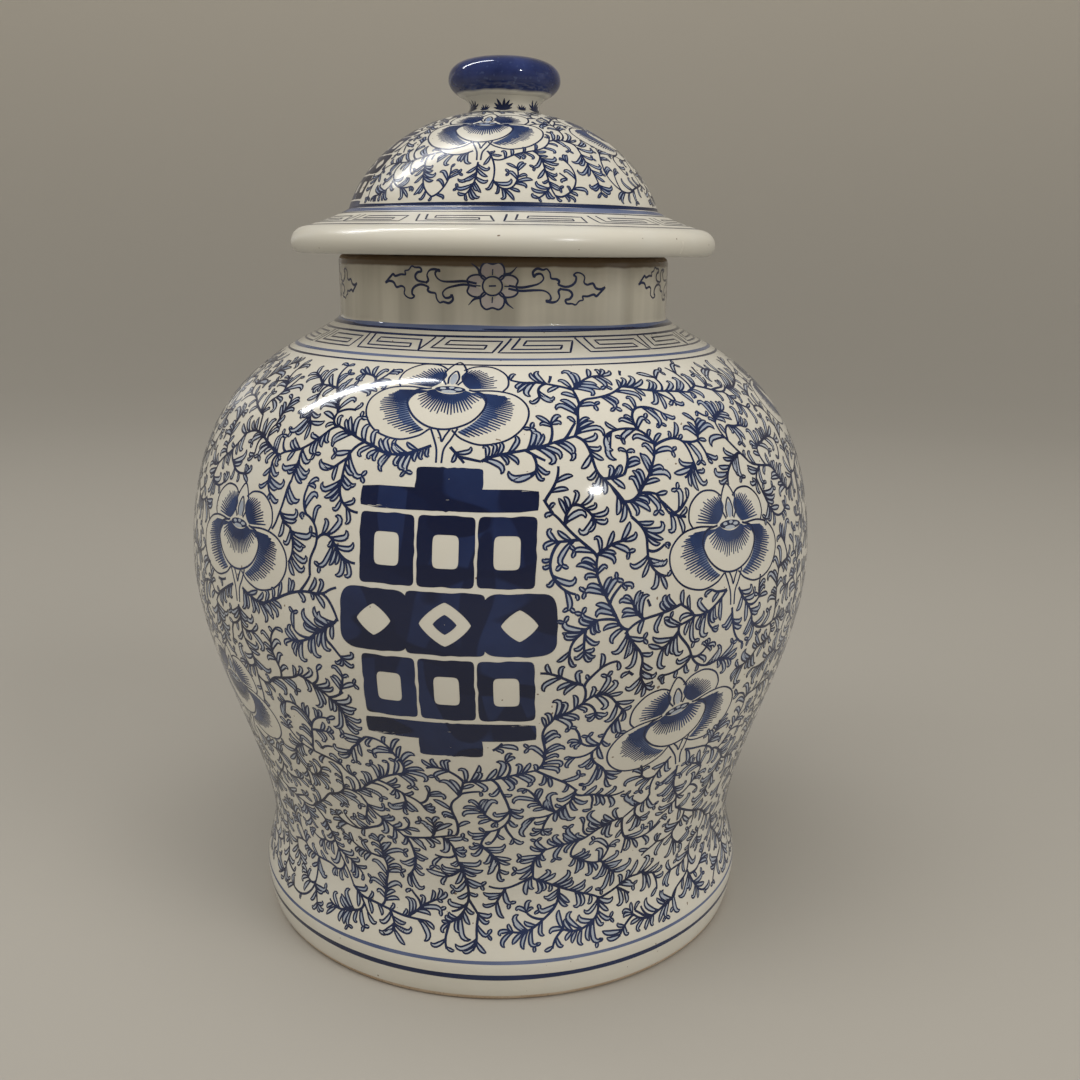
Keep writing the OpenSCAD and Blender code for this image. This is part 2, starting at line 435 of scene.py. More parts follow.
class Nodes:
    """A material's node tree, built by short calls."""

    def __init__(self, name, roughness):
        self.material = bpy.data.materials.new(name)
        self.material.use_nodes = True
        self.tree = self.material.node_tree
        self.shader = self.tree.nodes["Principled BSDF"]
        self.shader.inputs["Roughness"].default_value = roughness
        self.shader.inputs["IOR"].default_value = 1.5
        self.where = self.add("ShaderNodeTexCoord").outputs["Object"]

    def add(self, kind, **values):
        """A new node, with its settings."""
        node = self.tree.nodes.new(kind)
        for key, value in values.items():
            setattr(node, key, value)
        return node

    def link(self, a, b):
        self.tree.links.new(a, b)

    def noise(self, scale, detail=2.0, stretch=(1, 1, 1)):
        """Soft noise from 0 to 1, with longer features along an axis whose stretch is small."""
        mapping = self.add("ShaderNodeMapping")
        mapping.inputs["Scale"].default_value = stretch
        self.link(self.where, mapping.inputs["Vector"])
        noise = self.add("ShaderNodeTexNoise")
        noise.inputs["Scale"].default_value = scale
        noise.inputs["Detail"].default_value = detail
        self.link(mapping.outputs["Vector"], noise.inputs["Vector"])
        return noise.outputs["Fac"]

    def between(self, value, low, high, to_low=0.0, to_high=1.0):
        """A value spread so that low becomes to_low and high becomes to_high."""
        spread = self.add("ShaderNodeMapRange")
        ends = {"From Min": low, "From Max": high, "To Min": to_low, "To Max": to_high}
        for socket, number in ends.items():
            spread.inputs[socket].default_value = number
        self.link(value, spread.inputs["Value"])
        return spread.outputs["Result"]

    def mix(self, share, a, b):
        """Colour a, turning to b where share is 1. Each is a colour or a socket."""
        mix = self.add("ShaderNodeMix", data_type="RGBA")
        self.link(share, mix.inputs["Factor"])
        for socket, colour in ((mix.inputs[6], a), (mix.inputs[7], b)):
            if isinstance(colour, tuple):
                socket.default_value = (*colour, 1)
            else:
                self.link(colour, socket)
        return mix.outputs[2]

    def height(self):
        """Height above the jar's foot, in metres."""
        axes = self.add("ShaderNodeSeparateXYZ")
        self.link(self.where, axes.inputs["Vector"])
        return axes.outputs["Z"]

    def total(self, a, b, scale):
        """a plus scale times b."""
        maths = self.add("ShaderNodeMath", operation="MULTIPLY_ADD")
        maths.inputs[1].default_value = scale
        self.link(b, maths.inputs[0])
        self.link(a, maths.inputs[2])
        return maths.outputs["Value"]

    def colour(self, socket):
        self.link(socket, self.shader.inputs["Base Color"])
        return self

    def roughness(self, socket):
        self.link(socket, self.shader.inputs["Roughness"])

    def bump(self, height, strength, distance):
        """Relief of the surface, by up to distance metres."""
        bump = self.add("ShaderNodeBump")
        bump.inputs["Strength"].default_value = strength
        bump.inputs["Distance"].default_value = distance
        self.link(height, bump.inputs["Height"])
        self.link(bump.outputs["Normal"], self.shader.inputs["Normal"])
        return self


def porcelain_glaze(name, gloss, shade_from_z, shade_to_z):
    """Clear glaze on a white body, with painted shade that greys it between two given heights: slow
    shifts from warm to cool, and sparse iron specks burnt through it."""
    n = Nodes(name, gloss)
    cloudy = n.between(n.noise(16, 3.0), 0.32, 0.7)
    colour = n.mix(cloudy, (0.67, 0.65, 0.58), (0.73, 0.71, 0.645))
    blush = n.between(n.noise(55), 0.50, 0.88)
    colour = n.mix(blush, colour, (0.70, 0.70, 0.66))
    # Painted shade: the colour greys between the two heights to stand in for shade, not for a change in the
    # glaze
    painted_shade = n.between(n.height(), shade_from_z * MM, shade_to_z * MM)
    colour = n.mix(painted_shade, colour, (0.55, 0.535, 0.48))
    specks = n.between(n.noise(600, 0.0), 0.85, 0.87)
    n.colour(n.mix(specks, colour, (0.20, 0.15, 0.11)))
    n.roughness(n.between(n.noise(70, 3.0), 0, 1, 0.8 * gloss, 1.25 * gloss))
    return n.bump(n.noise(900, 2.0), 0.03, 0.0002).material


def neck_glaze():
    """Thinner, greyer glaze, darkened further by painted shade under the lid's brim, with runs down the neck,
    stained brown along the bare rim.
    """
    n = Nodes("neck_glaze", 0.12)
    runs = n.between(n.noise(95, 3.0, (1, 1, 0.05)), 0.36, 0.64)
    # These tones hold painted shade of the lid's brim, on top of the glaze's own greyer tone
    colour = n.mix(runs, (0.39, 0.37, 0.315), (0.565, 0.54, 0.465))
    edge = n.total(n.height(), n.noise(120, 3.0, (1, 1, 0.3)), 0.001)
    stain = (NECK_TOP_Z - 2.6) * MM
    n.colour(n.mix(n.between(edge, stain - 0.0004, stain + 0.0002), colour, (0.115, 0.08, 0.045)))
    n.roughness(n.between(n.noise(60, 2.0), 0, 1, 0.10, 0.2))
    return n.bump(n.noise(110, 2.0, (1, 1, 0.06)), 0.10, 0.0006).material


def bare_clay():
    """Unglazed fired clay: fine sand and rusty patches."""
    n = Nodes("bare_clay", 0.85)
    patches = n.between(n.noise(70, 4.0), 0.35, 0.7)
    colour = n.mix(patches, (0.60, 0.49, 0.37), (0.46, 0.33, 0.21))
    grit = n.between(n.noise(1500, 2.0), 0.55, 0.75)
    n.colour(n.mix(grit, colour, (0.32, 0.23, 0.16)))
    n.roughness(n.between(n.noise(200, 2.0), 0, 1, 0.75, 0.95))
    return n.bump(n.noise(1400, 4.0), 0.35, 0.0004).material


def knob_glaze():
    """White below, and cobalt brushed over the knob down to an uneven edge."""
    n = Nodes("knob_glaze", 0.09)
    depth = n.between(n.noise(120, 4.0, (1, 1, 0.7)), 0.3, 0.72)
    cobalt = n.mix(depth, (0.008, 0.015, 0.072), (0.026, 0.042, 0.155))
    cobalt = n.mix(n.between(n.noise(700, 2.0), 0.60, 0.75), cobalt, (0.05, 0.075, 0.19))
    edge = n.total(n.height(), n.noise(90, 2.0), 0.0016)
    start = (STEM_TOP_Z + 1.7) * MM
    n.colour(n.mix(n.between(edge, start, start + 0.0006), (0.66, 0.64, 0.57), cobalt))
    n.roughness(n.between(n.noise(90, 2.0), 0, 1, 0.06, 0.14))
    return n.bump(n.noise(260, 3.0), 0.06, 0.0003).material


def cobalt_paint(name, gloss, deep, thin, scale):
    """Cobalt under the clear glaze, deep where the brush left more of it."""
    n = Nodes(name, gloss)
    return n.colour(n.mix(n.between(n.noise(scale, 3.0), 0.32, 0.72), deep, thin)).material


def cobalt_blocks(name, gloss):
    """Cobalt laid with a flat brush: hard-edged darker strokes over a thinner coat."""
    n = Nodes(name, gloss)
    coat = n.mix(n.between(n.noise(60, 3.0), 0.3, 0.7), (0.007, 0.015, 0.062), (0.013, 0.027, 0.098))
    strokes = n.between(n.noise(95, 0.0, (1, 1, 0.35)), 0.50, 0.53)
    coat = n.mix(strokes, coat, (0.0045, 0.010, 0.045))
    again = n.between(n.noise(75, 0.0, (0.5, 0.5, 1.3)), 0.56, 0.59)
    return n.colour(n.mix(again, coat, (0.0035, 0.008, 0.038))).material


def inks(wall, gloss, block_gloss, leaf_tones):
    """A wall's paints by name, each with its deep tone, its thin tone and how finely they cloud."""
    made = {
        name: cobalt_paint(f"{wall}_{name}", gloss, *paint)
        for name, paint in (
            ("line", ((0.004, 0.0085, 0.040), (0.014, 0.030, 0.105), 34)),
            ("leaf", (*leaf_tones, 60)),
            ("wash", ((0.055, 0.085, 0.20), (0.16, 0.20, 0.34), 34)),
            ("stroke", ((0.008, 0.020, 0.080), (0.026, 0.055, 0.165), 80)),
            ("petal", ((0.065, 0.105, 0.235), (0.18, 0.235, 0.375), 90)),
        )
    }
    return {**made, "block": cobalt_blocks(f"{wall}_block", block_gloss)}


GLOSS, PAINT_GLOSS, LID_GLOSS = 0.085, 0.09, 0.24
# On the body the painted shade greys the top of the shoulder, under the lid's brim
GLAZE = porcelain_glaze("porcelain_glaze", GLOSS, 203.5, 209.5)
# On the lid the painted shade darkens the lower brim and its underside
LID_GLAZE = porcelain_glaze("lid_glaze", LID_GLOSS, LID_Z + 6.0, LID_Z + 0.5)
NECK_GLAZE_AND_SHADE, CLAY, KNOB = neck_glaze(), bare_clay(), knob_glaze()
BODY_INKS = inks("cobalt", PAINT_GLOSS, GLOSS, ((0.31, 0.37, 0.49), (0.53, 0.565, 0.61)))
LID_INKS = inks("lid", LID_GLOSS, LID_GLOSS, ((0.20, 0.265, 0.43), (0.44, 0.49, 0.58)))
BLOOM = cobalt_paint("cobalt_bloom", PAINT_GLOSS, (0.43, 0.39, 0.40), (0.52, 0.49, 0.46), 90)

# ---------------------------------------------------------------- the turned pieces

GLAZED, BARE = 0, 1
FOOT_EDGE_Z = 2
INNER_STEPS = 28
NECK_FOOT_Z = NECK_ROOT_Z + COVE_H
NECK_RISE = NECK_TOP_Z - RIM_OUTER_ROUND - NECK_ROOT_Z - COVE_H
NECK = [[NECK_R, NECK_FOOT_Z + k * NECK_RISE / 3] for k in range(4)]
body_skin = Skin(RING, FOOT, FLARE, FLANK, SHOULDER, COVE, NECK)
lid_skin = Skin(BRIM_EDGE, BRIM_SLOPE, DOME)
stem_skin = Skin(STEM)


def make_jar():
    """The body's walls, from the foot up."""
    slots = [GLAZE, CLAY]
    turned("foot", "jar", "foot_ring", [
        straight([RING_INNER_R + RING_CHAMFER, 0], [RING_FACE_R, 0], BARE),
        *cut(bend(RING, 14, GLAZED), FOOT_EDGE_Z, BARE, GLAZED, body_skin),
        straight([FOOT_SIDE_R, RING_H], [RING_INNER_R, RING_H], GLAZED),
        *path(BARE, [RING_INNER_R, RING_H], [RING_INNER_R, RING_CHAMFER], [RING_INNER_R + RING_CHAMFER, 0]),
    ], slots)
    turned("base", "jar", "base_slab", [
        straight([0, RING_H], [SLAB_R, RING_H], GLAZED, 12),
        straight([SLAB_R, RING_H], [SLAB_R, SLAB_TOP_Z], GLAZED),
        straight([SLAB_R, SLAB_TOP_Z], [0, SLAB_TOP_Z], GLAZED, 12),
    ], slots)
    turned("lower_body", "jar", "lower_wall", [
        straight([SLAB_R, RING_H], [FOOT_SIDE_R, RING_H], GLAZED),
        bend(FOOT, 10, GLAZED, body_skin),
        bend(FLARE, 16, GLAZED, body_skin),
        bend(FLANK, 52, GLAZED, body_skin),
        straight([BELLY_R, BELLY_Z], [BELLY_R - BODY_WALL, BELLY_Z], GLAZED),
        inside(FLANK, BODY_WALL, INNER_STEPS, GLAZED),
        straight([WAIST_R - BODY_WALL, WAIST_Z], [SLAB_R, SLAB_TOP_Z], GLAZED, 4),
        straight([SLAB_R, SLAB_TOP_Z], [SLAB_R, RING_H], GLAZED),
    ], slots)
    shoulder_in = inside(SHOULDER, BODY_WALL, INNER_STEPS, GLAZED)
    lip = [NECK_BORE_R, NECK_ROOT_Z - BORE_LIP]
    turned("upper_body", "jar", "upper_wall", [
        straight([BELLY_R - BODY_WALL, BELLY_Z], [BELLY_R, BELLY_Z], GLAZED),
        bend(SHOULDER, 64, GLAZED, body_skin),
        *path(GLAZED, [NECK_ROOT_R, NECK_ROOT_Z], [NECK_BORE_R, NECK_ROOT_Z], lip, shoulder_in[0][0]),
        shoulder_in,
    ], slots)
    outer = [NECK_R - RIM_OUTER_ROUND, NECK_TOP_Z - RIM_OUTER_ROUND]
    inner = [NECK_BORE_R + RIM_INNER_ROUND, NECK_TOP_Z - RIM_INNER_ROUND]
    turned("neck_wall", "jar", "neck", [
        straight([NECK_BORE_R, NECK_ROOT_Z], [NECK_ROOT_R, NECK_ROOT_Z], GLAZED),
        bend(COVE, 8, GLAZED, body_skin),
        straight([NECK_R, NECK_FOOT_Z], [NECK_R, outer[1]], GLAZED, 12, body_skin),
        corner(outer, RIM_OUTER_ROUND, 0, GLAZED),
        straight([outer[0], NECK_TOP_Z], [inner[0], NECK_TOP_Z], BARE),
        corner(inner, RIM_INNER_ROUND, 90, GLAZED),
        straight([NECK_BORE_R, inner[1]], [NECK_BORE_R, NECK_ROOT_Z], GLAZED),
    ], [NECK_GLAZE_AND_SHADE, CLAY])


def make_lid():
    """The lid's walls, from the brim up, its collar and its knob."""
    dome_in = inside(DOME, DOME_WALL, INNER_STEPS, GLAZED)
    hollow = [COLLAR_INNER_R, DOME_FOOT_Z - 2 * DOME_WALL]
    turned("lid_shell", "lid", "lid_dome", [
        straight([COLLAR_INNER_R, LID_Z], [BRIM_BARE_R, LID_Z], BARE),
        straight([BRIM_BARE_R, LID_Z], [BRIM_FLAT_R, LID_Z], GLAZED),
        bend(BRIM_EDGE, 24, GLAZED, lid_skin),
        bend(BRIM_SLOPE, 14, GLAZED, lid_skin),
        bend(DOME, 52, GLAZED, lid_skin),
        straight([STEM_FOOT_R, CROWN_Z], [0, CROWN_Z], GLAZED),
        straight([0, CROWN_Z - DOME_WALL], dome_in[0][0], GLAZED),
        dome_in,
        *path(GLAZED, dome_in[0][-1], hollow, [COLLAR_INNER_R, LID_Z]),
    ], [LID_GLAZE, CLAY])
    inner, outer, curve_z = COLLAR_INNER_R + COLLAR_ROUND, COLLAR_R - COLLAR_ROUND, COLLAR_Z + COLLAR_ROUND
    turned("collar", "lid", "lid_collar", [
        *path(BARE, [COLLAR_R, LID_Z], [COLLAR_INNER_R, LID_Z], [COLLAR_INNER_R, curve_z]),
        corner([inner, curve_z], COLLAR_ROUND, 180, BARE),
        straight([inner, COLLAR_Z], [outer, COLLAR_Z], BARE),
        corner([outer, curve_z], COLLAR_ROUND, 270, BARE),
        straight([COLLAR_R, curve_z], [COLLAR_R, LID_Z], BARE),
    ], [GLAZE, CLAY])
    turned("knob_neck", "lid", "knob_stem", [
        straight([0, CROWN_Z], [STEM_FOOT_R, CROWN_Z], GLAZED),
        bend(STEM, 12, GLAZED, stem_skin),
        straight([STEM_TOP_R, STEM_TOP_Z], [0, STEM_TOP_Z], GLAZED),
    ], [KNOB], 96)
    turned("knob", "lid", "knob_bun", [
        straight([0, STEM_TOP_Z], [STEM_TOP_R, STEM_TOP_Z], GLAZED),
        bend(BUN_LOW, 14, GLAZED),
        bend(BUN_HIGH, 36, GLAZED),
    ], [KNOB], 128)


# ---------------------------------------------------------------- drawing on a wall

# How far the paints stand off the glaze, and the width of a fine line
WASH_LIFT, INK_LIFT, BEAD_LIFT = 0.02, 0.03, 0.06
HAIR = 0.60


def smooth(points, per=6, closed=False):
    """A smooth line through given points (Catmull-Rom)."""
    p = np.array(points, float)
    if closed:
        p = np.vstack([p[-1], p, p[:2]])
    else:
        p = np.vstack([2 * p[0] - p[1], p, 2 * p[-1] - p[-2]])
    t = np.arange(per)[:, None] / per
    runs = []
    for a, b, c, d in zip(p, p[1:], p[2:], p[3:]):
        runs.append(b + 0.5 * t * (c - a + t * (2 * a - 5 * b + 4 * c - d + t * (3 * (b - c) + d - a))))
    return np.vstack(runs + [p[-2][None]])


def polyline(points, step):
    """A line with straight stretches, cut to steps no longer than step."""
    p = np.array(points, float)
    parts = [p[:1]]
    for a, b in zip(p, p[1:]):
        n = max(1, math.ceil(np.linalg.norm(b - a) / step))
        parts.append(a + (b - a) * np.arange(1, n + 1)[:, None] / n)
    return np.vstack(parts)


def rounded_box(u, v, half_u, half_v, power, count=96):
    """A closed outline between a lozenge (power 1) and a box (high power)."""
    a = np.linspace(0, TAU, count + 1)
    cos, sin = np.cos(a), np.sin(a)
    r = (abs(cos / half_u) ** power + abs(sin / half_v) ** power) ** (-1 / power)
    return np.stack([u + r * cos, v + r * sin], -1)


def ribbon(skin, line, width):
    """The two edges of lines (..., k, 2) of the given width."""
    r = skin.radius(line[..., 1])
    du = np.gradient(line[..., 0], axis=-1) * r
    dv = np.gradient(line[..., 1], axis=-1)
    size = np.maximum(np.hypot(du, dv), 1e-9)
    side = np.stack([-dv / size / r, du / size], -1) * (np.asarray(width) / 2)[..., None]
    return np.stack([line + side, line - side], axis=-2)


def loft(a, b, rows):
    """The sheet between two outlines with as many points."""
    t = np.linspace(0, 1, rows + 1)[:, None, None]
    return a + t * (b - a)


class Motif:
    """A drawing's own flat millimetres, pinned on a wall."""

    def __init__(self, skin, angle, run, turn=0.0, scale=1.0):
        self.skin, self.angle, self.run = skin, math.radians(angle), run
        self.turn, self.scale = math.radians(turn), scale

    def pin(self, local):
        """Places on the wall of the drawing's millimetres."""
        local = np.asarray(local, float) * self.scale
        cos, sin = math.cos(self.turn), math.sin(self.turn)
        u = local[..., 0] * cos - local[..., 1] * sin
        v = local[..., 0] * sin + local[..., 1] * cos
        run = self.run + v
        return np.stack([self.angle + u / self.skin.radius(run), run], -1)

    def local(self, places):
        """Back from places to the drawing's millimetres."""
        turn = (places[..., 0] - self.angle + math.pi) % TAU - math.pi
        u, v = turn * self.skin.radius(places[..., 1]), places[..., 1] - self.run
        cos, sin = math.cos(self.turn), math.sin(self.turn)
        return np.stack([u * cos + v * sin, v * cos - u * sin], -1) / self.scale

    def stroke(self, paint, local, width, lift=INK_LIFT):
        """Draws a line."""
        paint.add(ribbon(self.skin, self.pin(local), width), lift)

    def shape(self, paint, outline, inner, rows, lift=INK_LIFT):
        """Fills the room between two outlines."""
        paint.add(self.pin(loft(outline, inner, rows)), lift)


# ---------------------------------------------------------------- flowers


def comb(motif, paints, root, tips, count, rng):
    """Brush strokes from a root curve out to a curve of tips, over a wash that gives out halfway."""
    t = (np.arange(count) + 0.5) / count
    start, end = on_cubic(root, t), on_cubic(tips, t)
    end = end + (end - start) * rng.uniform(-0.12, 0.06, (count, 1))
    k = np.linspace(0, 1, 6)
    lines = start[:, None] + k[:, None] * (end - start)[:, None]
    width = (0.36 + 0.25 * np.sin(math.pi * k**0.7)) * motif.scale**0.5
    paints.stroke.add(ribbon(motif.skin, motif.pin(lines), width * np.ones((count, 1))), INK_LIFT)
    far = start + (end - start) * rng.uniform(0.30, 0.60, (count, 1))
    motif.shape(paints.wash, start, far, 2, WASH_LIFT)


# Outlines of a flower's parts, in millimetres about its heart
LOWER_PETAL = [
    (-6.5, -1.2), (-13.5, -0.9), (-19.5, -2.6), (-23.6, -7.0), (-23.6, -12.5), (-19.5, -17.4), (-12.5, -19.4),
    (-6.5, -17.9), (-3.2, -15.3),
]
UPPER_PETAL = [(-2.3, 7.4), (-5.5, 9.4), (-10.5, 9.3), (-15.0, 6.0), (-16.4, 1.6), (-15.2, -1.2)]
FRONT_PETAL = [
    (-5.5, -0.9), (-10.2, -2.2), (-11.8, -6.2), (-9.2, -11.2), (-4.0, -14.6), (2.2, -15.0), (8.2, -12.2),
    (11.2, -7.2), (10.2, -2.6), (5.5, -0.9),
]
BUD = [(-1.6, 0.8), (-3.0, 3.6), (-2.6, 7.4), (0.3, 11.2), (3.0, 7.6), (3.2, 3.6), (1.8, 0.8)]
INNER_BUD = [(-1.1, 1.2), (-1.3, 4.2), (0.2, 7.0), (1.6, 4.2), (1.3, 1.2)]
BEADS = (-0.3, -1.9, 2.3), (-2.2, -0.7, 0.9), (2.4, -0.9, 1.1), (0.3, -0.3, 0.8)
STEM_LINES = (
    [(-2.9, -15.2), (-1.4, -18.4), (-0.2, -21.5), (0.3, -25.5)],
    [(4.8, -14.6), (3.4, -18.2), (1.9, -21.3), (1.8, -25.5)],
    [(-1.0, -15.2), (0.2, -17.2), (0.9, -19.0), (1.6, -17.2), (2.7, -15.0)],
)
# Each petal's brush strokes: the curve they start from, the curve of their tips, and how many there are
LOWER_COMB = (
    [(-6, -2.0), (-13.8, -3.4), (-12.6, -11.5), (-4.6, -15.9)],
    [(-14.5, -2.4), (-23.2, -4.2), (-21.5, -16.2), (-8.0, -17.3)], 26,
)
UPPER_COMB = (
    [(-2.2, 4.6), (-2.4, 2.6), (-3.6, 0.6), (-5.6, -0.4)],
    [(-3.2, 7.8), (-8.6, 8.4), (-12.6, 5.6), (-13.6, 0.0)], 15,
)
FRONT_COMB = (
    [(-4.6, -1.2), (-2.4, -3.4), (2.4, -3.4), (4.6, -1.2)],
    [(-9.8, -3.0), (-7.6, -12.6), (7.6, -12.8), (9.6, -3.2)], 25,
)


def flower(motif, paints, rng):
    """A lotus seen from the side: two upper petals, two wide lower ones, a front petal and a bud."""
    ink, pale, hair = paints.line, paints.leaf, HAIR * motif.scale**0.3
    for side in (-1, 1):
        flip = np.array([side, 1.0])
        for petal in (LOWER_PETAL, UPPER_PETAL):
            motif.stroke(ink, smooth(petal) * flip, hair)
        for root, tips, count in (LOWER_COMB, UPPER_COMB):
            comb(motif, paints, np.array(root) * flip, np.array(tips) * flip, count, rng)
    motif.stroke(ink, smooth(FRONT_PETAL), hair * 1.1)
    comb(motif, paints, *FRONT_COMB, rng)
    motif.shape(ink, rounded_box(0, -1.0, 4.6, 1.3, 2, 48), rounded_box(0, -1.0, 0.1, 0.05, 2, 48), 3)
    for line in (BUD, INNER_BUD):
        motif.stroke(ink, smooth(line), hair)
    motif.shape(pale, rounded_box(0.15, 3.4, 1.0, 2.4, 2, 32), rounded_box(0.15, 3.4, 0.05, 0.1, 2, 32), 1)
    for u, v, wide in BEADS:
        bead = rounded_box(u, v, wide, 0.36 + 0.1 * wide, 2, 28)
        middle = rounded_box(u, v, 0.06, 0.04, 2, 28)
        motif.shape(pale, bead, middle, 1, BEAD_LIFT)
    for line in STEM_LINES:
        motif.stroke(ink, smooth(line), hair)


def flower_keeps(motif, places, margin):
    """Which places a flower covers: its low petals, its high ones and its stem."""
    p = motif.local(places)
    low = (p[..., 0] / (24.0 + margin)) ** 2 + ((p[..., 1] + 9.4) / (10.4 + margin)) ** 2
    high = (p[..., 0] / (16.6 + margin)) ** 2 + ((p[..., 1] - 1.5) / (8.8 + margin)) ** 2
    stem = (abs(p[..., 0] - 0.9) < 2.6) & (abs(p[..., 1] + 20) < 5.5)
    return (low < 1) | (high < 1) | stem


# ---------------------------------------------------------------- lattice panel

SOLID, SQUARE, DIAMOND, WIDE_DIAMOND = (0, 0, 2), (3.7, 4.7, 6), (5.2, 4.6, 1.25), (7.4, 6.4, 1.25)
# The panel's cobalt blocks: centre, half sizes, corner power, window in the same terms, and layer
PANEL_BLOCKS = []
for end in (-1, 1):
    PANEL_BLOCKS.append((0, end * 40.9, 9.5, 3.3, 12, SOLID, 0))
    PANEL_BLOCKS.append((0, end * 35.0, 25.5, 3.2, 12, SOLID, 2))
    for column in (-17.1, 0, 17.1):
        PANEL_BLOCKS.append((column, end * 20.6, 8.15, 10.0, 14, SQUARE, int(column > 0)))
PANEL_BLOCKS.append((-21.0, 0, 10.6, 9.2, 5, DIAMOND, 2))
PANEL_BLOCKS.append((21.0, 0, 10.6, 9.2, 5, DIAMOND, 3))
PANEL_BLOCKS.append((0, 0, 11.4, 9.2, 14, WIDE_DIAMOND, 2))
LAYER = 0.004
WOBBLES = (0.10, 5), (0.07, 9), (0.05, 14)


def panel(motif, paint, rng):
    """A geometric lattice: rows of windowed blocks about a band of lozenges, brushed in cobalt."""
    a = np.linspace(0, TAU, 121)
    for u, v, half_u, half_v, power, (wide, tall, window_power), layer in PANEL_BLOCKS:
        outline = rounded_box(u, v, half_u, half_v, power, 120)
        phases = rng.uniform(0, TAU, 3)
        wobble = sum(size * np.sin(k * a + phase) for (size, k), phase in zip(WOBBLES, phases))
        away = outline - [u, v]
        outline = outline + away / np.linalg.norm(away, axis=1, keepdims=True) * wobble[:, None]
        inner = rounded_box(u, v, wide or 0.02 * half_u, tall or 0.02 * half_v, window_power, 120)
        rows = max(2, math.ceil(max(half_u - wide, half_v - tall) / 2.6))
        motif.shape(paint, outline, inner, rows, INK_LIFT + LAYER * layer)
    motif.shape(paint, rounded_box(0, 0, 3.4, 2.9, 1.2, 60), rounded_box(0, 0, 0.1, 0.1, 2, 60), 2)


def panel_keeps(motif, places, margin):
    """Which places a panel covers: its body, its wings and its caps."""
    p = abs(motif.local(places))
    half_sizes = np.array([(26.2, 38.6), (32.2, 9.8), (10.2, 44.8)])
    return (p[..., None, :] < half_sizes + margin).all(-1).any(-1)


# ---------------------------------------------------------------- rings, frets and neck sprays


WANDER = 0.06
ROW = 1.2


def ring(paint, z, width, lift, seed):
    """A line right round the wall, as a brush held against the turning wheel leaves it."""
    a = np.linspace(0, TAU, 361)
    drift = WANDER * (np.sin(2 * a + seed) + 0.6 * np.sin(5 * a + 2 * seed + 1))
    swell = width * (1 + 0.12 * np.sin(3 * a + 5 * seed) + 0.08 * np.sin(11 * a + seed))
    mid = paint.skin.run_at(z) + drift
    rows = max(1, math.ceil(width / ROW))
    edges = [np.stack([a, mid + (k / rows - 0.5) * swell], -1) for k in range(rows + 1)]
    paint.add(np.stack(edges), lift)


# One unit's line, in shares of its pitch and height
FRET_UNIT = [
    (0.03, 1.0), (0.0, 0.0), (0.93, 0.0), (0.95, 0.80), (0.28, 0.80),
    (0.26, 0.50), (0.80, 0.50), (0.79, 0.24), (0.13, 0.24), (0.16, 1.0),
]


def fret(paint, low_z, high_z, units, width, rng):
    """A running key pattern between two heights, each unit drawn by hand in one line."""
    skin = paint.skin
    run = skin.run_at(low_z)
    height = skin.run_at(high_z) - run
    r = skin.radius(run + height / 2)
    pitch = TAU / units
    for k in range(units):
        points = np.array(FRET_UNIT)
        points = points + rng.normal(0, 0.006, points.shape)
        lean = rng.choice([-0.10, 0.0, 0.0, 0.0, 0.10]) + rng.normal(0, 0.02)
        u = (points[:, 0] * rng.uniform(0.90, 1.0) + lean * (points[:, 1] - 0.5)) * pitch * r
        line = polyline(np.stack([u, points[:, 1] * height], -1), 1.1)
        places = np.stack([k * pitch + line[:, 0] / r, run + line[:, 1]], -1)
        paint.add(ribbon(skin, places, width * np.ones(len(line))), INK_LIFT)


SPRAY_PETAL = [
    (-2.6, 1.8), (-4.0, 3.4), (-3.8, 6.2), (-2.2, 7.7), (0, 7.2),
    (2.2, 7.7), (3.8, 6.2), (4.0, 3.4), (2.6, 1.8),
]
SPRAY_SCROLLS = [
    [(4.9, 0.2), (8.5, -0.4), (11.5, 0.1), (14.2, 1.0), (15.6, 2.6), (14.8, 4.2), (13.2, 4.0), (12.6, 3.0)],
    [(12.6, 3.0), (12.3, 4.8), (13.6, 6.0), (15.4, 5.6), (16.6, 5.9), (17.6, 4.6), (18.0, 2.8), (19.6, 2.5),
     (20.6, 1.8), (20.2, 0.7)],
    [(20.2, 0.7), (22.5, -0.1), (24.6, 0.3), (26.0, 1.6), (26.2, 3.2), (25.4, 3.9), (26.4, 4.7), (28.0, 4.4),
     (29.2, 3.2), (29.0, 1.4), (30.2, 0.6), (32.2, 1.0), (33.4, -0.6), (35.2, -1.0), (37.0, -0.3)],
    [(4.8, -0.8), (8.5, -1.5), (12.5, -1.3), (15.6, -1.4), (17.4, -2.5), (18.0, -4.2), (16.8, -5.2),
     (16.6, -4.4)],
    [(16.8, -5.2), (18.6, -5.4), (20.0, -4.9), (20.8, -3.4), (20.4, -1.6), (21.4, -0.6)],
    [(21.4, -0.9), (24.0, -1.4), (25.0, -2.8), (24.2, -4.2), (22.8, -4.6), (23.2, -5.8), (25.0, -5.9),
     (26.2, -6.3), (27.4, -5.0), (28.8, -4.6), (28.6, -3.4), (30.4, -3.4), (32.6, -2.8), (33.6, -3.4),
     (35.0, -2.2), (37.0, -0.3)],
]


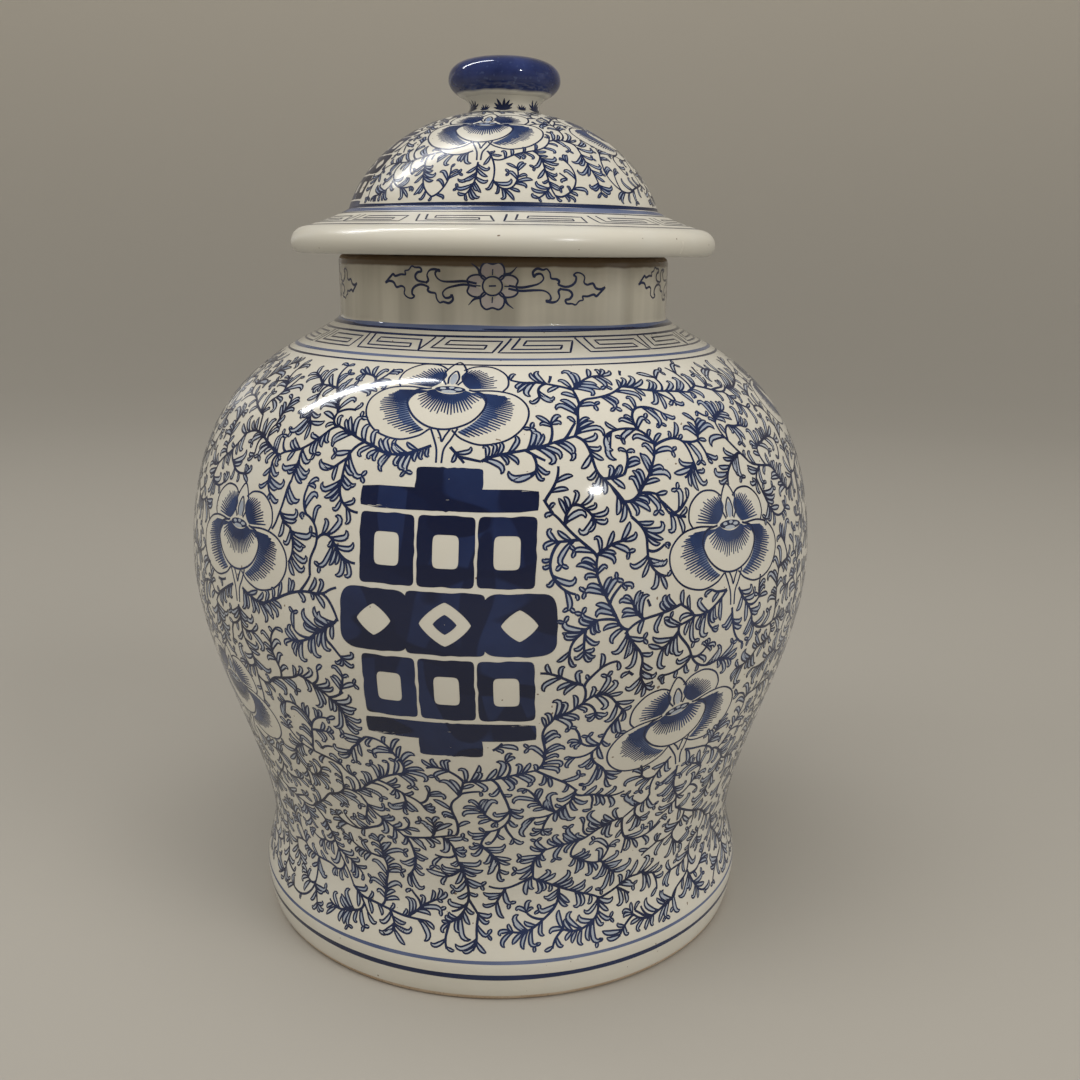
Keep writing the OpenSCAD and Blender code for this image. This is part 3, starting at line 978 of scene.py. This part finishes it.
def neck_spray(motif, ink, pale):
    """A small four-petalled flower between two curling leaf scrolls, in a fine line."""
    motif.stroke(ink, rounded_box(0, 0, 3.0, 2.8, 2, 36), 0.56)
    motif.stroke(ink, np.array([(-1.1, 0.0), (1.1, 0.1)]), 0.5)
    flat = np.array([1.0, 0.90])
    petal = smooth(SPRAY_PETAL) * [0.9, 1.0]
    for k in range(4):
        turn = math.radians(90 * k)
        spin = np.array([[math.cos(turn), math.sin(turn)], [-math.sin(turn), math.cos(turn)]])
        motif.stroke(ink, petal @ spin * flat, 0.60)
        motif.shape(pale, petal @ spin * flat, ([[0, 5.2]] @ spin) * flat, 2, WASH_LIFT)
        motif.stroke(ink, np.array([(0, 3.6), (0.1, 5.6)]) @ spin * flat, 0.4)
        leaf = smooth([(3.4, 3.6), (5.6, 4.4), (7.4, 6.4)]) @ spin * flat
        motif.stroke(ink, leaf, np.linspace(1.2, 0.2, len(leaf)))
    for side in (-1, 1):
        for scroll in SPRAY_SCROLLS:
            line = smooth(np.array(scroll) * [side, 0.88 * side], 5)
            motif.stroke(ink, line, 0.66 + 0.16 * np.sin(np.linspace(0, 9, len(line))))


SPRIG = (0.1, 4.2), (0.55, 4.0), (-0.5, 4.4), (1.0, 3.8), (-0.95, 3.6), (1.4, 3.0), (-1.4, 3.2)


def sprig(motif, ink, scale):
    """Seven loose strokes fanned out from one point."""
    t = np.linspace(0, 1, 6)
    for lean, length in SPRIG:
        line = np.stack([t * math.sin(lean), t * math.cos(lean) ** 0.6], -1) * length * scale
        motif.stroke(ink, line, 1.1 * scale * np.sin(math.pi * (0.18 + 0.76 * t)))


# ---------------------------------------------------------------- leafy vines


class Ground:
    """Which places on a wall are painted already, as a grid of fine cells."""

    def __init__(self, skin, low, high, cell):
        self.skin, self.low, self.high, self.cell = skin, low, high, cell
        inner = (skin.run > low) & (skin.run < high)
        self.columns = round(TAU * float(skin.at[inner, 0].max()) / cell)
        self.rows = math.ceil((high - low) / cell)
        self.taken = np.zeros((self.rows, self.columns), bool)

    def centres(self):
        """The places in the middle of the cells."""
        run = self.low + (np.arange(self.rows) + 0.5) * self.cell
        angle = (np.arange(self.columns) + 0.5) * TAU / self.columns
        return np.stack(np.meshgrid(angle, run), -1)

    def index(self, places):
        """The rows and columns of places, and which of them are within the ground."""
        column = np.floor(places[..., 0] / TAU * self.columns).astype(int) % self.columns
        row = np.floor((places[..., 1] - self.low) / self.cell).astype(int)
        within = (row >= 0) & (row < self.rows)
        return np.clip(row, 0, self.rows - 1), column, within

    def free(self, places):
        """Which places are still bare."""
        row, column, within = self.index(places)
        return within & ~self.taken[row, column]

    def mark(self, places, width):
        """Takes the cells within half a width of places (n, 2)."""
        count = math.ceil(width / 2 / (0.8 * self.cell))
        k = np.arange(-count, count + 1) * 0.8 * self.cell
        u, v = np.meshgrid(k, k)
        near = np.hypot(u, v) <= width / 2
        u, v = u[near], v[near]
        r = self.skin.radius(places[:, 1])[:, None]
        spread = np.stack([places[:, :1] + u / r, places[:, 1:] + v], -1)
        row, column, within = self.index(spread)
        self.taken[row[within], column[within]] = True


def wrapped(angle):
    """An angle between half a turn back and half a turn on."""
    return (angle + math.pi) % TAU - math.pi


class Vines:
    """Stems that branch toward the emptiest room, and the leaves along them."""

    STEP = 0.8  # between a stem's places
    TURN = 0.10  # the most a stem turns in a step
    ROOT = 7  # how long a stem is before it minds the other stems
    NEAR = 6.6  # how near it then comes to them
    LOOP_STEPS, LOOP_NEAR = 14, 5  # how far back a stem minds its own places, and how near it comes to them
    EDGE = 1.5  # bare strip along the ground's ends
    ROOM_CELL, ROOM_REACH = 1.5, 9  # cell of the grid of room, and how many cells away room is measured
    MOST_NODES, MOST_BRANCHES = 60000, 3000

    def __init__(self, skin, ground, rng, size):
        self.skin, self.ground, self.rng, self.size = skin, ground, rng, size
        self.stems, self.leaves = [], []
        self.nodes = np.zeros((self.MOST_NODES, 3))
        self.count = 0
        self.coarse = Ground(skin, ground.low, ground.high, self.ROOM_CELL)
        centres = self.coarse.centres()
        free = ground.free(centres)
        far = self.ROOM_REACH * self.ROOM_CELL
        self.room = np.where(free, far + rng.uniform(0, 3, free.shape), 0)
        for du, dv in ((2.6, 0), (-2.6, 0), (0, 2.6), (0, -2.6)):
            shifted = centres + np.stack([du / skin.radius(centres[..., 1]), np.full(free.shape, dv)], -1)
            self.room[~ground.free(shifted)] = 0

    def distance(self, place, nodes):
        """How far nodes are from a place, along the wall."""
        return np.hypot(wrapped(nodes[:, 0] - place[0]) * self.skin.radius(place[1]), nodes[:, 1] - place[1])

    def remember(self, line, headings):
        """Adds a stem's places to the nodes, and takes the room near them."""
        n = len(line)
        self.nodes[self.count : self.count + n, :2] = line
        self.nodes[self.count : self.count + n, 2] = headings
        self.count += n
        grid = self.coarse
        for angle, run in line[::2]:
            r = self.skin.radius(run)
            row = int((run - grid.low) / grid.cell)
            column = int(angle / TAU * grid.columns)
            span = math.ceil(self.ROOM_REACH * float(grid.columns * grid.cell / TAU / r))
            rows = np.arange(max(0, row - self.ROOM_REACH), min(grid.rows, row + self.ROOM_REACH + 1))
            columns = np.arange(column - span, column + span + 1)
            dv = grid.low + (rows + 0.5) * grid.cell - run
            du = ((columns + 0.5) * TAU / grid.columns - angle) * r
            block = np.ix_(rows, columns % grid.columns)
            self.room[block] = np.minimum(self.room[block], np.hypot(du[None], dv[:, None]))

    def march(self, start, heading, target, curl, limit):
        """A stem that turns toward its target, then curls until something is in its way."""
        at, line, headings = np.array(start, float), [np.array(start, float)], [heading]
        aiming, length = True, 0.0
        sway, phase = self.rng.uniform(0.05, 0.13), self.rng.uniform(0, TAU)
        while length < limit:
            r = self.skin.radius(at[1])
            if aiming:
                du, dv = wrapped(target[0] - at[0]) * r, target[1] - at[1]
                aiming = math.hypot(du, dv) > 4
                turn = wrapped(math.atan2(dv, du) - heading)
                turn = max(-self.TURN, min(self.TURN, turn))
                heading += turn + 0.5 * curl + sway * math.sin(length / 3.2 + phase)
            else:
                heading += curl
            at = at + self.STEP * np.array([math.cos(heading) / r, math.sin(heading)])
            length += self.STEP
            if not self.ground.low + self.EDGE < at[1] < self.ground.high - self.EDGE:
                break
            if length > 1.5 and not self.ground.free(at):
                break
            if length > self.ROOT and self.count:
                if self.distance(at, self.nodes[: self.count]).min() < self.NEAR * self.size:
                    break
            if len(line) > self.LOOP_STEPS + 2:
                if self.distance(at, np.array(line[: -self.LOOP_STEPS])).min() < self.LOOP_NEAR * self.size:
                    break
            line.append(at)
            headings.append(heading)
        return np.array(line), np.array(headings)

    def plant(self, start, heading, limit):
        """A first stem, out of a flower."""
        target = np.array(start) + np.array([math.cos(heading) / 90, math.sin(heading)]) * limit * 0.6
        curl = self.rng.choice([-1, 1]) * self.rng.uniform(0.05, 0.09)
        line, headings = self.march(start, heading, target, curl, limit)
        if len(line) > 5:
            self.stems.append((line, headings))
            self.remember(line, headings)

    def spread(self, least):
        """Branches until no room is wider than least."""
        grid = self.coarse
        targets = grid.centres()
        for _ in range(self.MOST_BRANCHES):
            row, column = np.unravel_index(int(self.room.argmax()), self.room.shape)
            if self.room[row, column] < least:
                break
            target = targets[row, column]
            nodes = self.nodes[: self.count]
            away = self.distance(target, nodes)
            root = nodes[int((away + self.rng.uniform(0, 3, len(away))).argmin())]
            across = wrapped(target[0] - root[0]) * self.skin.radius(root[1])
            side = 1 if wrapped(math.atan2(target[1] - root[1], across) - root[2]) > 0 else -1
            heading = root[2] + side * self.rng.uniform(0.4, 0.9)
            curl = side * self.rng.choice([-1, 1, 1]) * self.rng.uniform(0.06, 0.12)
            limit = min(away.min() + self.rng.uniform(5, 15), self.rng.uniform(16, 30))
            line, headings = self.march(root[:2], heading, target, curl, limit)
            if len(line) > 6:
                self.stems.append((line, headings))
                self.remember(line[1:], headings[1:])
                self.room[row, column] = min(self.room[row, column], least - 0.1)
            else:
                rows = np.arange(max(0, row - 1), min(grid.rows, row + 2))
                self.room[np.ix_(rows, np.arange(column - 1, column + 2) % grid.columns)] = 0

    # ------------------------------------------------ leaves

    POINTS = 12
    # Leaf shapes, each (how far it bends, how far its tip hooks in), and which of them go where
    SHAPES = (
        (0.75, 1.9), (0.55, 1.5), (0.95, 1.3), (0.85, 2.3),
        (0.45, 0.4), (0.25, 0.2), (0.6, 0.7), (0.1, 0.9),
    )
    HOOKED, PLAIN, LOBE = (0, 1, 2, 3), (4, 5, 6), 7
    # Lengths of the leaves in a fan, and lean and length of those in a spray
    FANS = (
        (9.0, 6.2, 4.8), (7.8, 6.0, 4.8, 3.6), (7.0, 5.0),
        (10.0, 5.8, 4.4), (6.6, 5.0, 3.8), (8.2, 7.0, 5.0),
    )
    SPRAY = ((0.0, 5.0), (0.55, 4.6), (-0.55, 4.6), (1.15, 3.6), (-1.15, 3.6))
    # Width along a leaf as a share of its widest, and width of the dark line round its pale core
    SWELL = np.array([0.50, 0.60, 0.72, 0.84, 0.93, 0.99, 1.0, 0.99, 0.94, 0.82, 0.58, 0.20])
    OUTLINE = 0.64
    STEM_WIDTH, LEAF_WIDTH = 0.9, 1.9  # what they take of the ground
    LEAF_TRIES, LEAST_LEAF = 4, 1.9

    @classmethod
    def shapes(cls):
        """Centre lines one unit long that leave along +u, bend to the left and hook at the tip."""
        t = (np.arange(cls.POINTS - 1) + 0.5) / (cls.POINTS - 1)
        lines = []
        for bending, hook in cls.SHAPES:
            heading = bending * t + hook * np.clip((t - 0.62) / 0.38, 0, 1)
            step = np.stack([np.cos(heading), np.sin(heading)], -1) / (cls.POINTS - 1)
            lines.append(np.vstack([[0, 0], np.cumsum(step, axis=0)]))
        return np.array(lines)

    def lay(self, shape, base, heading, side, length):
        """Places of one leaf's centre line."""
        local = self.outlines[shape] * length * [1, side]
        cos, sin = math.cos(heading), math.sin(heading)
        u = local[:, 0] * cos - local[:, 1] * sin
        v = local[:, 0] * sin + local[:, 1] * cos
        return np.stack([base[0] + u / self.skin.radius(base[1]), base[1] + v], -1)

    def leaf(self, base, heading, side, length, shape, clear=0.35):
        """A leaf as (centre line, length), shorter if something is in its way, or None. Only the part
        past the share clear of its length needs bare ground."""
        along = np.linspace(0, 1, self.POINTS)
        past = along > clear
        for _ in range(self.LEAF_TRIES):
            line = self.lay(shape, base, heading, side, length)
            far = line[past]
            edges = ribbon(self.skin, far, np.full(len(far), 1.7 * self.size))
            free = self.ground.free(edges).all(-1) & self.ground.free(far)
            if free.all():
                return line, length
            length = min(0.85 * length, length * along[past][int(np.argmin(free))])
            if length < self.LEAST_LEAF * self.size:
                return None
        return None

    def keep(self, leaves):
        """Adds leaves, and takes their ground."""
        for line, length in leaves:
            self.leaves.append((line, length))
            self.ground.mark(line[3:], self.LEAF_WIDTH * self.size)

    def fan(self, line, headings, at, side):
        """A few leaves side by side, the longest first, and where along the stem they end."""
        made = []
        lean = self.rng.uniform(0.50, 0.85)
        for k, length in enumerate(self.FANS[int(self.rng.integers(len(self.FANS)))]):
            i = int(at / self.STEP)
            if i > len(line) - 1:
                break
            shape = int(self.rng.choice(self.HOOKED if k == 0 or self.rng.random() < 0.3 else self.PLAIN))
            length *= self.rng.uniform(0.88, 1.14) * self.size
            one = self.leaf(line[i], headings[i] + side * lean, side, length, shape)
            if one is not None:
                made.append(one)
            at += 1.55 * self.rng.uniform(0.88, 1.14) * self.size
            lean -= 0.08
        self.keep(made)
        if made and made[0][1] > 6 * self.size and self.rng.random() < 0.3:
            self.tuft(made[0][0])
        return at

    def tuft(self, line):
        """Two short lobes across the tip of a long leaf."""
        step = line[-3] - line[-5]
        heading = math.atan2(step[1], step[0] * self.skin.radius(line[-1, 1]))
        length = 2.3 * self.size
        lobes = [self.lay(self.LOBE, line[-3], heading + 0.9 * side, side, length) for side in (1, -1)]
        self.keep([(lobe, length) for lobe in lobes])

    def spray(self, base, heading):
        """Leaves fanned out from one point."""
        tips = []
        for lean, length in self.SPRAY:
            side = 1 if lean >= 0 else -1
            shape = int(self.rng.choice(self.HOOKED))
            length *= self.rng.uniform(0.85, 1.1)
            one = self.leaf(base, heading + lean, side, length * self.size, shape, 0.4)
            if one is not None:
                tips.append(one)
        self.keep(tips)

    def clothe(self, line, headings):
        """Fans along both sides of a stem, and a spray at its end."""
        total = self.STEP * (len(line) - 1)
        for side in self.rng.permutation([1, -1]):
            at = self.rng.uniform(0.4, 2.2)
            while at < total - 0.5:
                at = self.fan(line, headings, at, side)
                at += self.rng.uniform(0.0, 0.9) * self.size
        self.spray(line[-1], headings[-1])

    def dress(self):
        """Leaves on all the stems, in a random order."""
        self.outlines = self.shapes()
        for line, _ in self.stems:
            self.ground.mark(line, self.STEM_WIDTH)
        for n in self.rng.permutation(len(self.stems)):
            self.clothe(*self.stems[n])

    def fill(self, tries, room):
        """Short loose branches in the pockets that no stem reached."""
        a = np.arange(12) * TAU / 12
        circles = np.concatenate([np.stack([np.cos(a), np.sin(a)], -1) * k for k in (0.5, 1.0)])
        low, high = self.ground.low + 1, self.ground.high - 1
        for _ in range(tries):
            place = np.array([self.rng.uniform(0, TAU), self.rng.uniform(low, high)])
            around = place + room * self.size * circles / [self.skin.radius(place[1]), 1]
            if not (self.ground.free(around).all() and self.ground.free(place)):
                continue
            curl = self.rng.choice([-1, 1]) * self.rng.uniform(0.06, 0.14)
            line, headings = self.march(place, self.rng.uniform(0, TAU), place, curl, 6.5)
            if len(line) > 3:
                self.stems.append((line, headings))
                self.ground.mark(line, self.STEM_WIDTH)
                self.clothe(line, headings)
            self.ground.mark(place[None], 1.5)

    def draw(self, ink, pale):
        """Stems, and leaves as dark strokes under narrower pale ones."""
        for line, _ in self.stems:
            t = np.linspace(0, 1, len(line))
            ink.add(ribbon(self.skin, line, (0.95 - 0.20 * t) * self.size), INK_LIFT)
        lines = np.array([leaf[0] for leaf in self.leaves])
        length = np.array([leaf[1] for leaf in self.leaves]) / self.size
        widest = np.clip(1.36 + 0.085 * length, 1.55, 2.05) * self.rng.uniform(0.92, 1.08, len(lines))
        width = widest[:, None] * self.SWELL * self.size
        lift = (INK_LIFT + 0.002 * (np.arange(len(lines)) % 24))[:, None, None]
        ink.add(ribbon(self.skin, lines, width), lift)
        inner, wide = lines[:, 2:-1], width[:, 2:-1]
        core = np.maximum(wide - 2 * self.OUTLINE * self.size**0.6, 0.05)
        rise = self.skin.rise(inner[..., 1], wide)[..., None]
        pale.add(ribbon(self.skin, inner, core), lift + 0.001 + rise)


# ---------------------------------------------------------------- the painting

# Flowers as (angle, height, turn) on one half of the body and (angle, turn) on the lid; panels' angles
BODY_FLOWERS = (
    (-10.5, 195.3, -2), (81, 192.0, 0),
    (-48, 152.0, 0), (39, 154.7, -3),
    (30, 99.0, 14), (-57, 97.0, -8),
)
PANEL_ANGLE, PANEL_Z = -8.5, 135.5
LID_FLOWERS, LID_FLOWER_Z, LID_FLOWER_SCALE = ((-11, 0), (71, 0), (205, 0)), 275.8, 0.80
LID_PANELS, LID_PANEL_Z, LID_PANEL_SCALE = (-75, 138), 263.5, 0.43
ROOTS = (1.0, -26.4, 0), (3.6, -20.5, 0.9), (-1.8, -20.5, -0.9)


def grow(ground, motifs, rng, size, least, tries):
    """Vines from the flowers' stems and from under their petals, until the ground is covered."""
    centres = ground.centres()
    for motif in motifs:
        ground.taken |= flower_keeps(motif, centres, 0.3)
    vines = Vines(ground.skin, ground, rng, size)
    for motif in motifs:
        down = motif.turn - math.pi / 2
        for u, v, lean in ROOTS:
            vines.plant(motif.pin([u, v]), down + lean + rng.uniform(-0.3, 0.3), 16 * size)
    vines.spread(least)
    vines.dress()
    vines.fill(tries, 1.9)
    return vines


def paint_body():
    """Two lattice panels, the flowers round them, and vines over the rest."""
    rng = np.random.default_rng(8)
    paints, run = Paints(body_skin), body_skin.run_at
    ground = Ground(body_skin, run(17.2), run(203.2), 0.4)
    centres, flowers = ground.centres(), []
    for half_turn in (0, 180):
        motif = Motif(body_skin, PANEL_ANGLE + half_turn, run(PANEL_Z))
        panel(motif, paints.block, rng)
        ground.taken |= panel_keeps(motif, centres, 0.1)
        for angle, z, turn in BODY_FLOWERS:
            motif = Motif(body_skin, angle + half_turn, run(z) + 5, turn)
            flower(motif, paints, rng)
            flowers.append(motif)
    grow(ground, flowers, rng, 1.0, 6.5, 30000).draw(paints.vine, paints.leaf)
    paints.pieces("body", "jar", BODY_INKS)


def paint_lid():
    """Lattice panels and flowers on the dome, and vines over the rest."""
    rng = np.random.default_rng(21)
    paints, run = Paints(lid_skin), lid_skin.run_at
    ground = Ground(lid_skin, run(250.8), lid_skin.run[-1] - 0.6, 0.35)
    for angle in LID_PANELS:
        motif = Motif(lid_skin, angle, run(LID_PANEL_Z), 0, LID_PANEL_SCALE)
        panel(motif, paints.block, rng)
        ground.taken |= panel_keeps(motif, ground.centres(), 0.1)
    at = run(LID_FLOWER_Z)
    flowers = [Motif(lid_skin, angle, at, turn, LID_FLOWER_SCALE) for angle, turn in LID_FLOWERS]
    for motif in flowers:
        flower(motif, paints, rng)
    grow(ground, flowers, rng, 0.72, 4.7, 9000).draw(paints.vine, paints.leaf)
    paints.pieces("lid", "lid", LID_INKS)


BODY_RINGS = (
    ("wash", 15.1, 1.1, INK_LIFT, 0.4),
    ("ink", 9.7, 1.7, INK_LIFT, 1.7),
    ("wash", 205.6, 1.2, INK_LIFT, 2.2),
    ("ink", 204.1, 0.75, INK_LIFT, 0.9),
    ("ink", 211.3, 1.0, INK_LIFT, 3.1),
    ("wash", 213.5, 2.4, WASH_LIFT, 4.1),
    ("ink", 213.1, 1.5, INK_LIFT, 4.4),
)
LID_RINGS = (
    ("ink", 250.2, 1.3, INK_LIFT, 0.3),
    ("wash", 248.9, 2.6, WASH_LIFT, 1.3),
    ("ink", 248.0, 0.6, INK_LIFT, 2.3),
    ("ink", 244.1, 0.7, INK_LIFT, 3.3),
)
NECK_SPRAYS, SPRIGS = 4, 12


def rings(skin, bands):
    """A wall's rings, each (paint, height, width, lift, seed): the ink and the wash they are in."""
    paints = {"ink": Paint(skin), "wash": Paint(skin)}
    for name, *band in bands:
        ring(paints[name], *band)
    return paints["ink"], paints["wash"]


def paint_rings():
    """Rings and frets, the flowers round the neck and the sprigs round the knob's foot."""
    rng = np.random.default_rng(3)
    ink, wash = rings(body_skin, BODY_RINGS)
    bloom, sprigs = Paint(body_skin), Paint(stem_skin)
    fret(ink, 207.3, 211.0, 17, 0.72, rng)
    for k in range(NECK_SPRAYS):
        neck_spray(Motif(body_skin, -3.5 + 360 / NECK_SPRAYS * k, body_skin.run_at(226.2)), ink, bloom)
    ink.piece("body_rings_and_fret", "jar", "painted_porcelain", BODY_INKS["line"])
    wash.piece("body_ring_washes", "jar", "painted_porcelain", BODY_INKS["wash"])
    bloom.piece("neck_flower_washes", "jar", "painted_porcelain", BLOOM)
    for k in range(SPRIGS):
        sprig(Motif(stem_skin, -2 + 360 / SPRIGS * k, 0.5), sprigs, 0.55 if k % 2 else 1.0)
    sprigs.piece("knob_foot_sprigs", "lid", "plain_porcelain", BODY_INKS["line"])
    ink, wash = rings(lid_skin, LID_RINGS)
    fret(ink, 245.0, 247.2, 14, 0.66, rng)
    ink.piece("lid_rings_and_fret", "lid", "painted_porcelain", LID_INKS["line"])
    wash.piece("lid_ring_washes", "lid", "painted_porcelain", LID_INKS["wash"])


# ---------------------------------------------------------------- studio


PAPER_LOW, PAPER_HIGH, PAPER_HIGH_Z = (0.435, 0.417, 0.384), (0.84, 0.795, 0.715), 1.1
FLOOR_R, SWEEP_R, PAPER_TOP_Z, PAPER_ROUND = 1.3, 2.7, 2.9, 96
WARM, COOL, ROOM_TONE, ROOM_LIGHT = (1.0, 0.965, 0.90), (0.95, 0.97, 1.0), (0.80, 0.77, 0.71, 1), 0.27
WIDE, NARROW = math.pi, math.radians(144)
SOFT_TARGET, STRIP_TARGET = (0, 0, 0.15), (0, 0, 0.2)
# Each soft box's name, place, sides, power, spread and the direction of its first side
SOFT_BOXES = (
    ("soft_top", (-0.2, -0.6, 2.3), (2.4, 1.8), 33, WIDE, (1, 0, 0)),
    ("soft_left", (-1.785, -0.68, 1.3), (1.2, 1.2), 5.9, NARROW, (1, 0, 0)),
    ("soft_right", (1.615, -1.36, 1.3), (1.2, 1.2), 12.1, NARROW, (1, 0, 0)),
)
STRIPS = (
    ("ceiling_strip", (-0.85, 0.46, 1.62), (1.3, 0.055), 12.5, WIDE, (-3.5, 0.62, 0)),
    ("back_strip", (-0.93, 1.15, 0.5), (0.9, 0.14), 0.12, WIDE, (-0.25, -0.26, 0.26)),
    ("right_card", (1.5, -0.25, 0.35), (0.5, 0.9), 0.4, WIDE, (0, 1, 0)),
    ("front_spot", (1.0, -1.4, 1.15), (0.10, 0.045), 4, WIDE, (1, 0.7, 0)),
)
CAMERA_AT, PITCH, YAW, ROLL = (0, -0.413, 0.2376), math.radians(14.3), math.radians(1.9), math.radians(0.64)
SENSOR, LENS = 36, 38.2


def pose(at, x, y, z):
    """The matrix of an object at a place, with its three axes."""
    return Matrix.Translation(at) @ Matrix((x, y, z)).transposed().to_4x4()


def area_light(name, at, size, power, spread, along, colour, target):
    """A soft box that faces target, with its first side along a direction."""
    data = bpy.data.lights.new(name, "AREA")
    data.shape = "RECTANGLE"
    data.size, data.size_y = size
    data.energy, data.color, data.spread = power, colour, spread
    lamp = link(name, data)
    back = (Vector(at) - Vector(target)).normalized()
    side = Vector(along)
    side = (side - side.dot(back) * back).normalized()
    lamp.matrix_world = pose(at, side, back.cross(side), back)
    lamp.visible_camera = False
    return lamp


def backdrop():
    """A round pale floor that sweeps up into a grey wall on every side."""
    n = Nodes("studio_paper", 0.8)
    n.colour(n.mix(n.between(n.height(), 0.0, PAPER_HIGH_Z), PAPER_LOW, PAPER_HIGH))
    bends = np.linspace(0, math.pi / 2, 17)
    line = [(0.6, 0), *((FLOOR_R + SWEEP_R * math.sin(t), SWEEP_R - SWEEP_R * math.cos(t)) for t in bends)]
    line.append((FLOOR_R + SWEEP_R, PAPER_TOP_Z))
    around = PAPER_ROUND
    turns = np.arange(around) * TAU / around
    verts = [(0, 0, 0)] + [(u * math.cos(t), u * math.sin(t), z) for u, z in line for t in turns]
    faces = [(0, 1 + k, 1 + (k + 1) % around) for k in range(around)]
    for row in range(len(line) - 1):
        for k in range(around):
            a, b = 1 + row * around + k, 1 + row * around + (k + 1) % around
            faces.append((a, a + around, b + around, b))
    mesh = bpy.data.meshes.new("sweep")
    mesh.from_pydata(verts, [], faces)
    mesh.polygons.foreach_set("use_smooth", [True] * len(faces))
    mesh.materials.append(n.material)
    sweep = link("sweep", mesh)


def studio():
    """Soft boxes that light without showing, and narrow strips that show only as highlights."""
    backdrop()
    for box in SOFT_BOXES:
        area_light(*box, WARM, SOFT_TARGET).visible_glossy = False
    for strip in STRIPS:
        area_light(*strip, COOL, STRIP_TARGET).visible_diffuse = False
    world = bpy.data.worlds.new("room")
    bpy.context.scene.world = world
    world.use_nodes = True
    sky = world.node_tree.nodes["Background"]
    sky.inputs["Color"].default_value = ROOM_TONE
    sky.inputs["Strength"].default_value = ROOM_LIGHT
    bpy.context.scene.view_settings.view_transform = "Standard"


def camera():
    """A phone's lens 0.41 m in front of the jar's axis and 0.24 m up, looking slightly down."""
    data = bpy.data.cameras.new("camera")
    data.sensor_width, data.lens = SENSOR, LENS
    level = Vector((math.cos(YAW), -math.sin(YAW), 0))
    forward = Vector((math.cos(PITCH) * math.sin(YAW), math.cos(PITCH) * math.cos(YAW), -math.sin(PITCH)))
    up = level.cross(forward)
    right = math.cos(ROLL) * level + math.sin(ROLL) * up
    up = math.cos(ROLL) * up - math.sin(ROLL) * level
    cam = link("camera", data)
    cam.matrix_world = pose(CAMERA_AT, right, up, -forward)
    bpy.context.scene.camera = cam


make_jar()
make_lid()
paint_body()
paint_lid()
paint_rings()
studio()
camera()
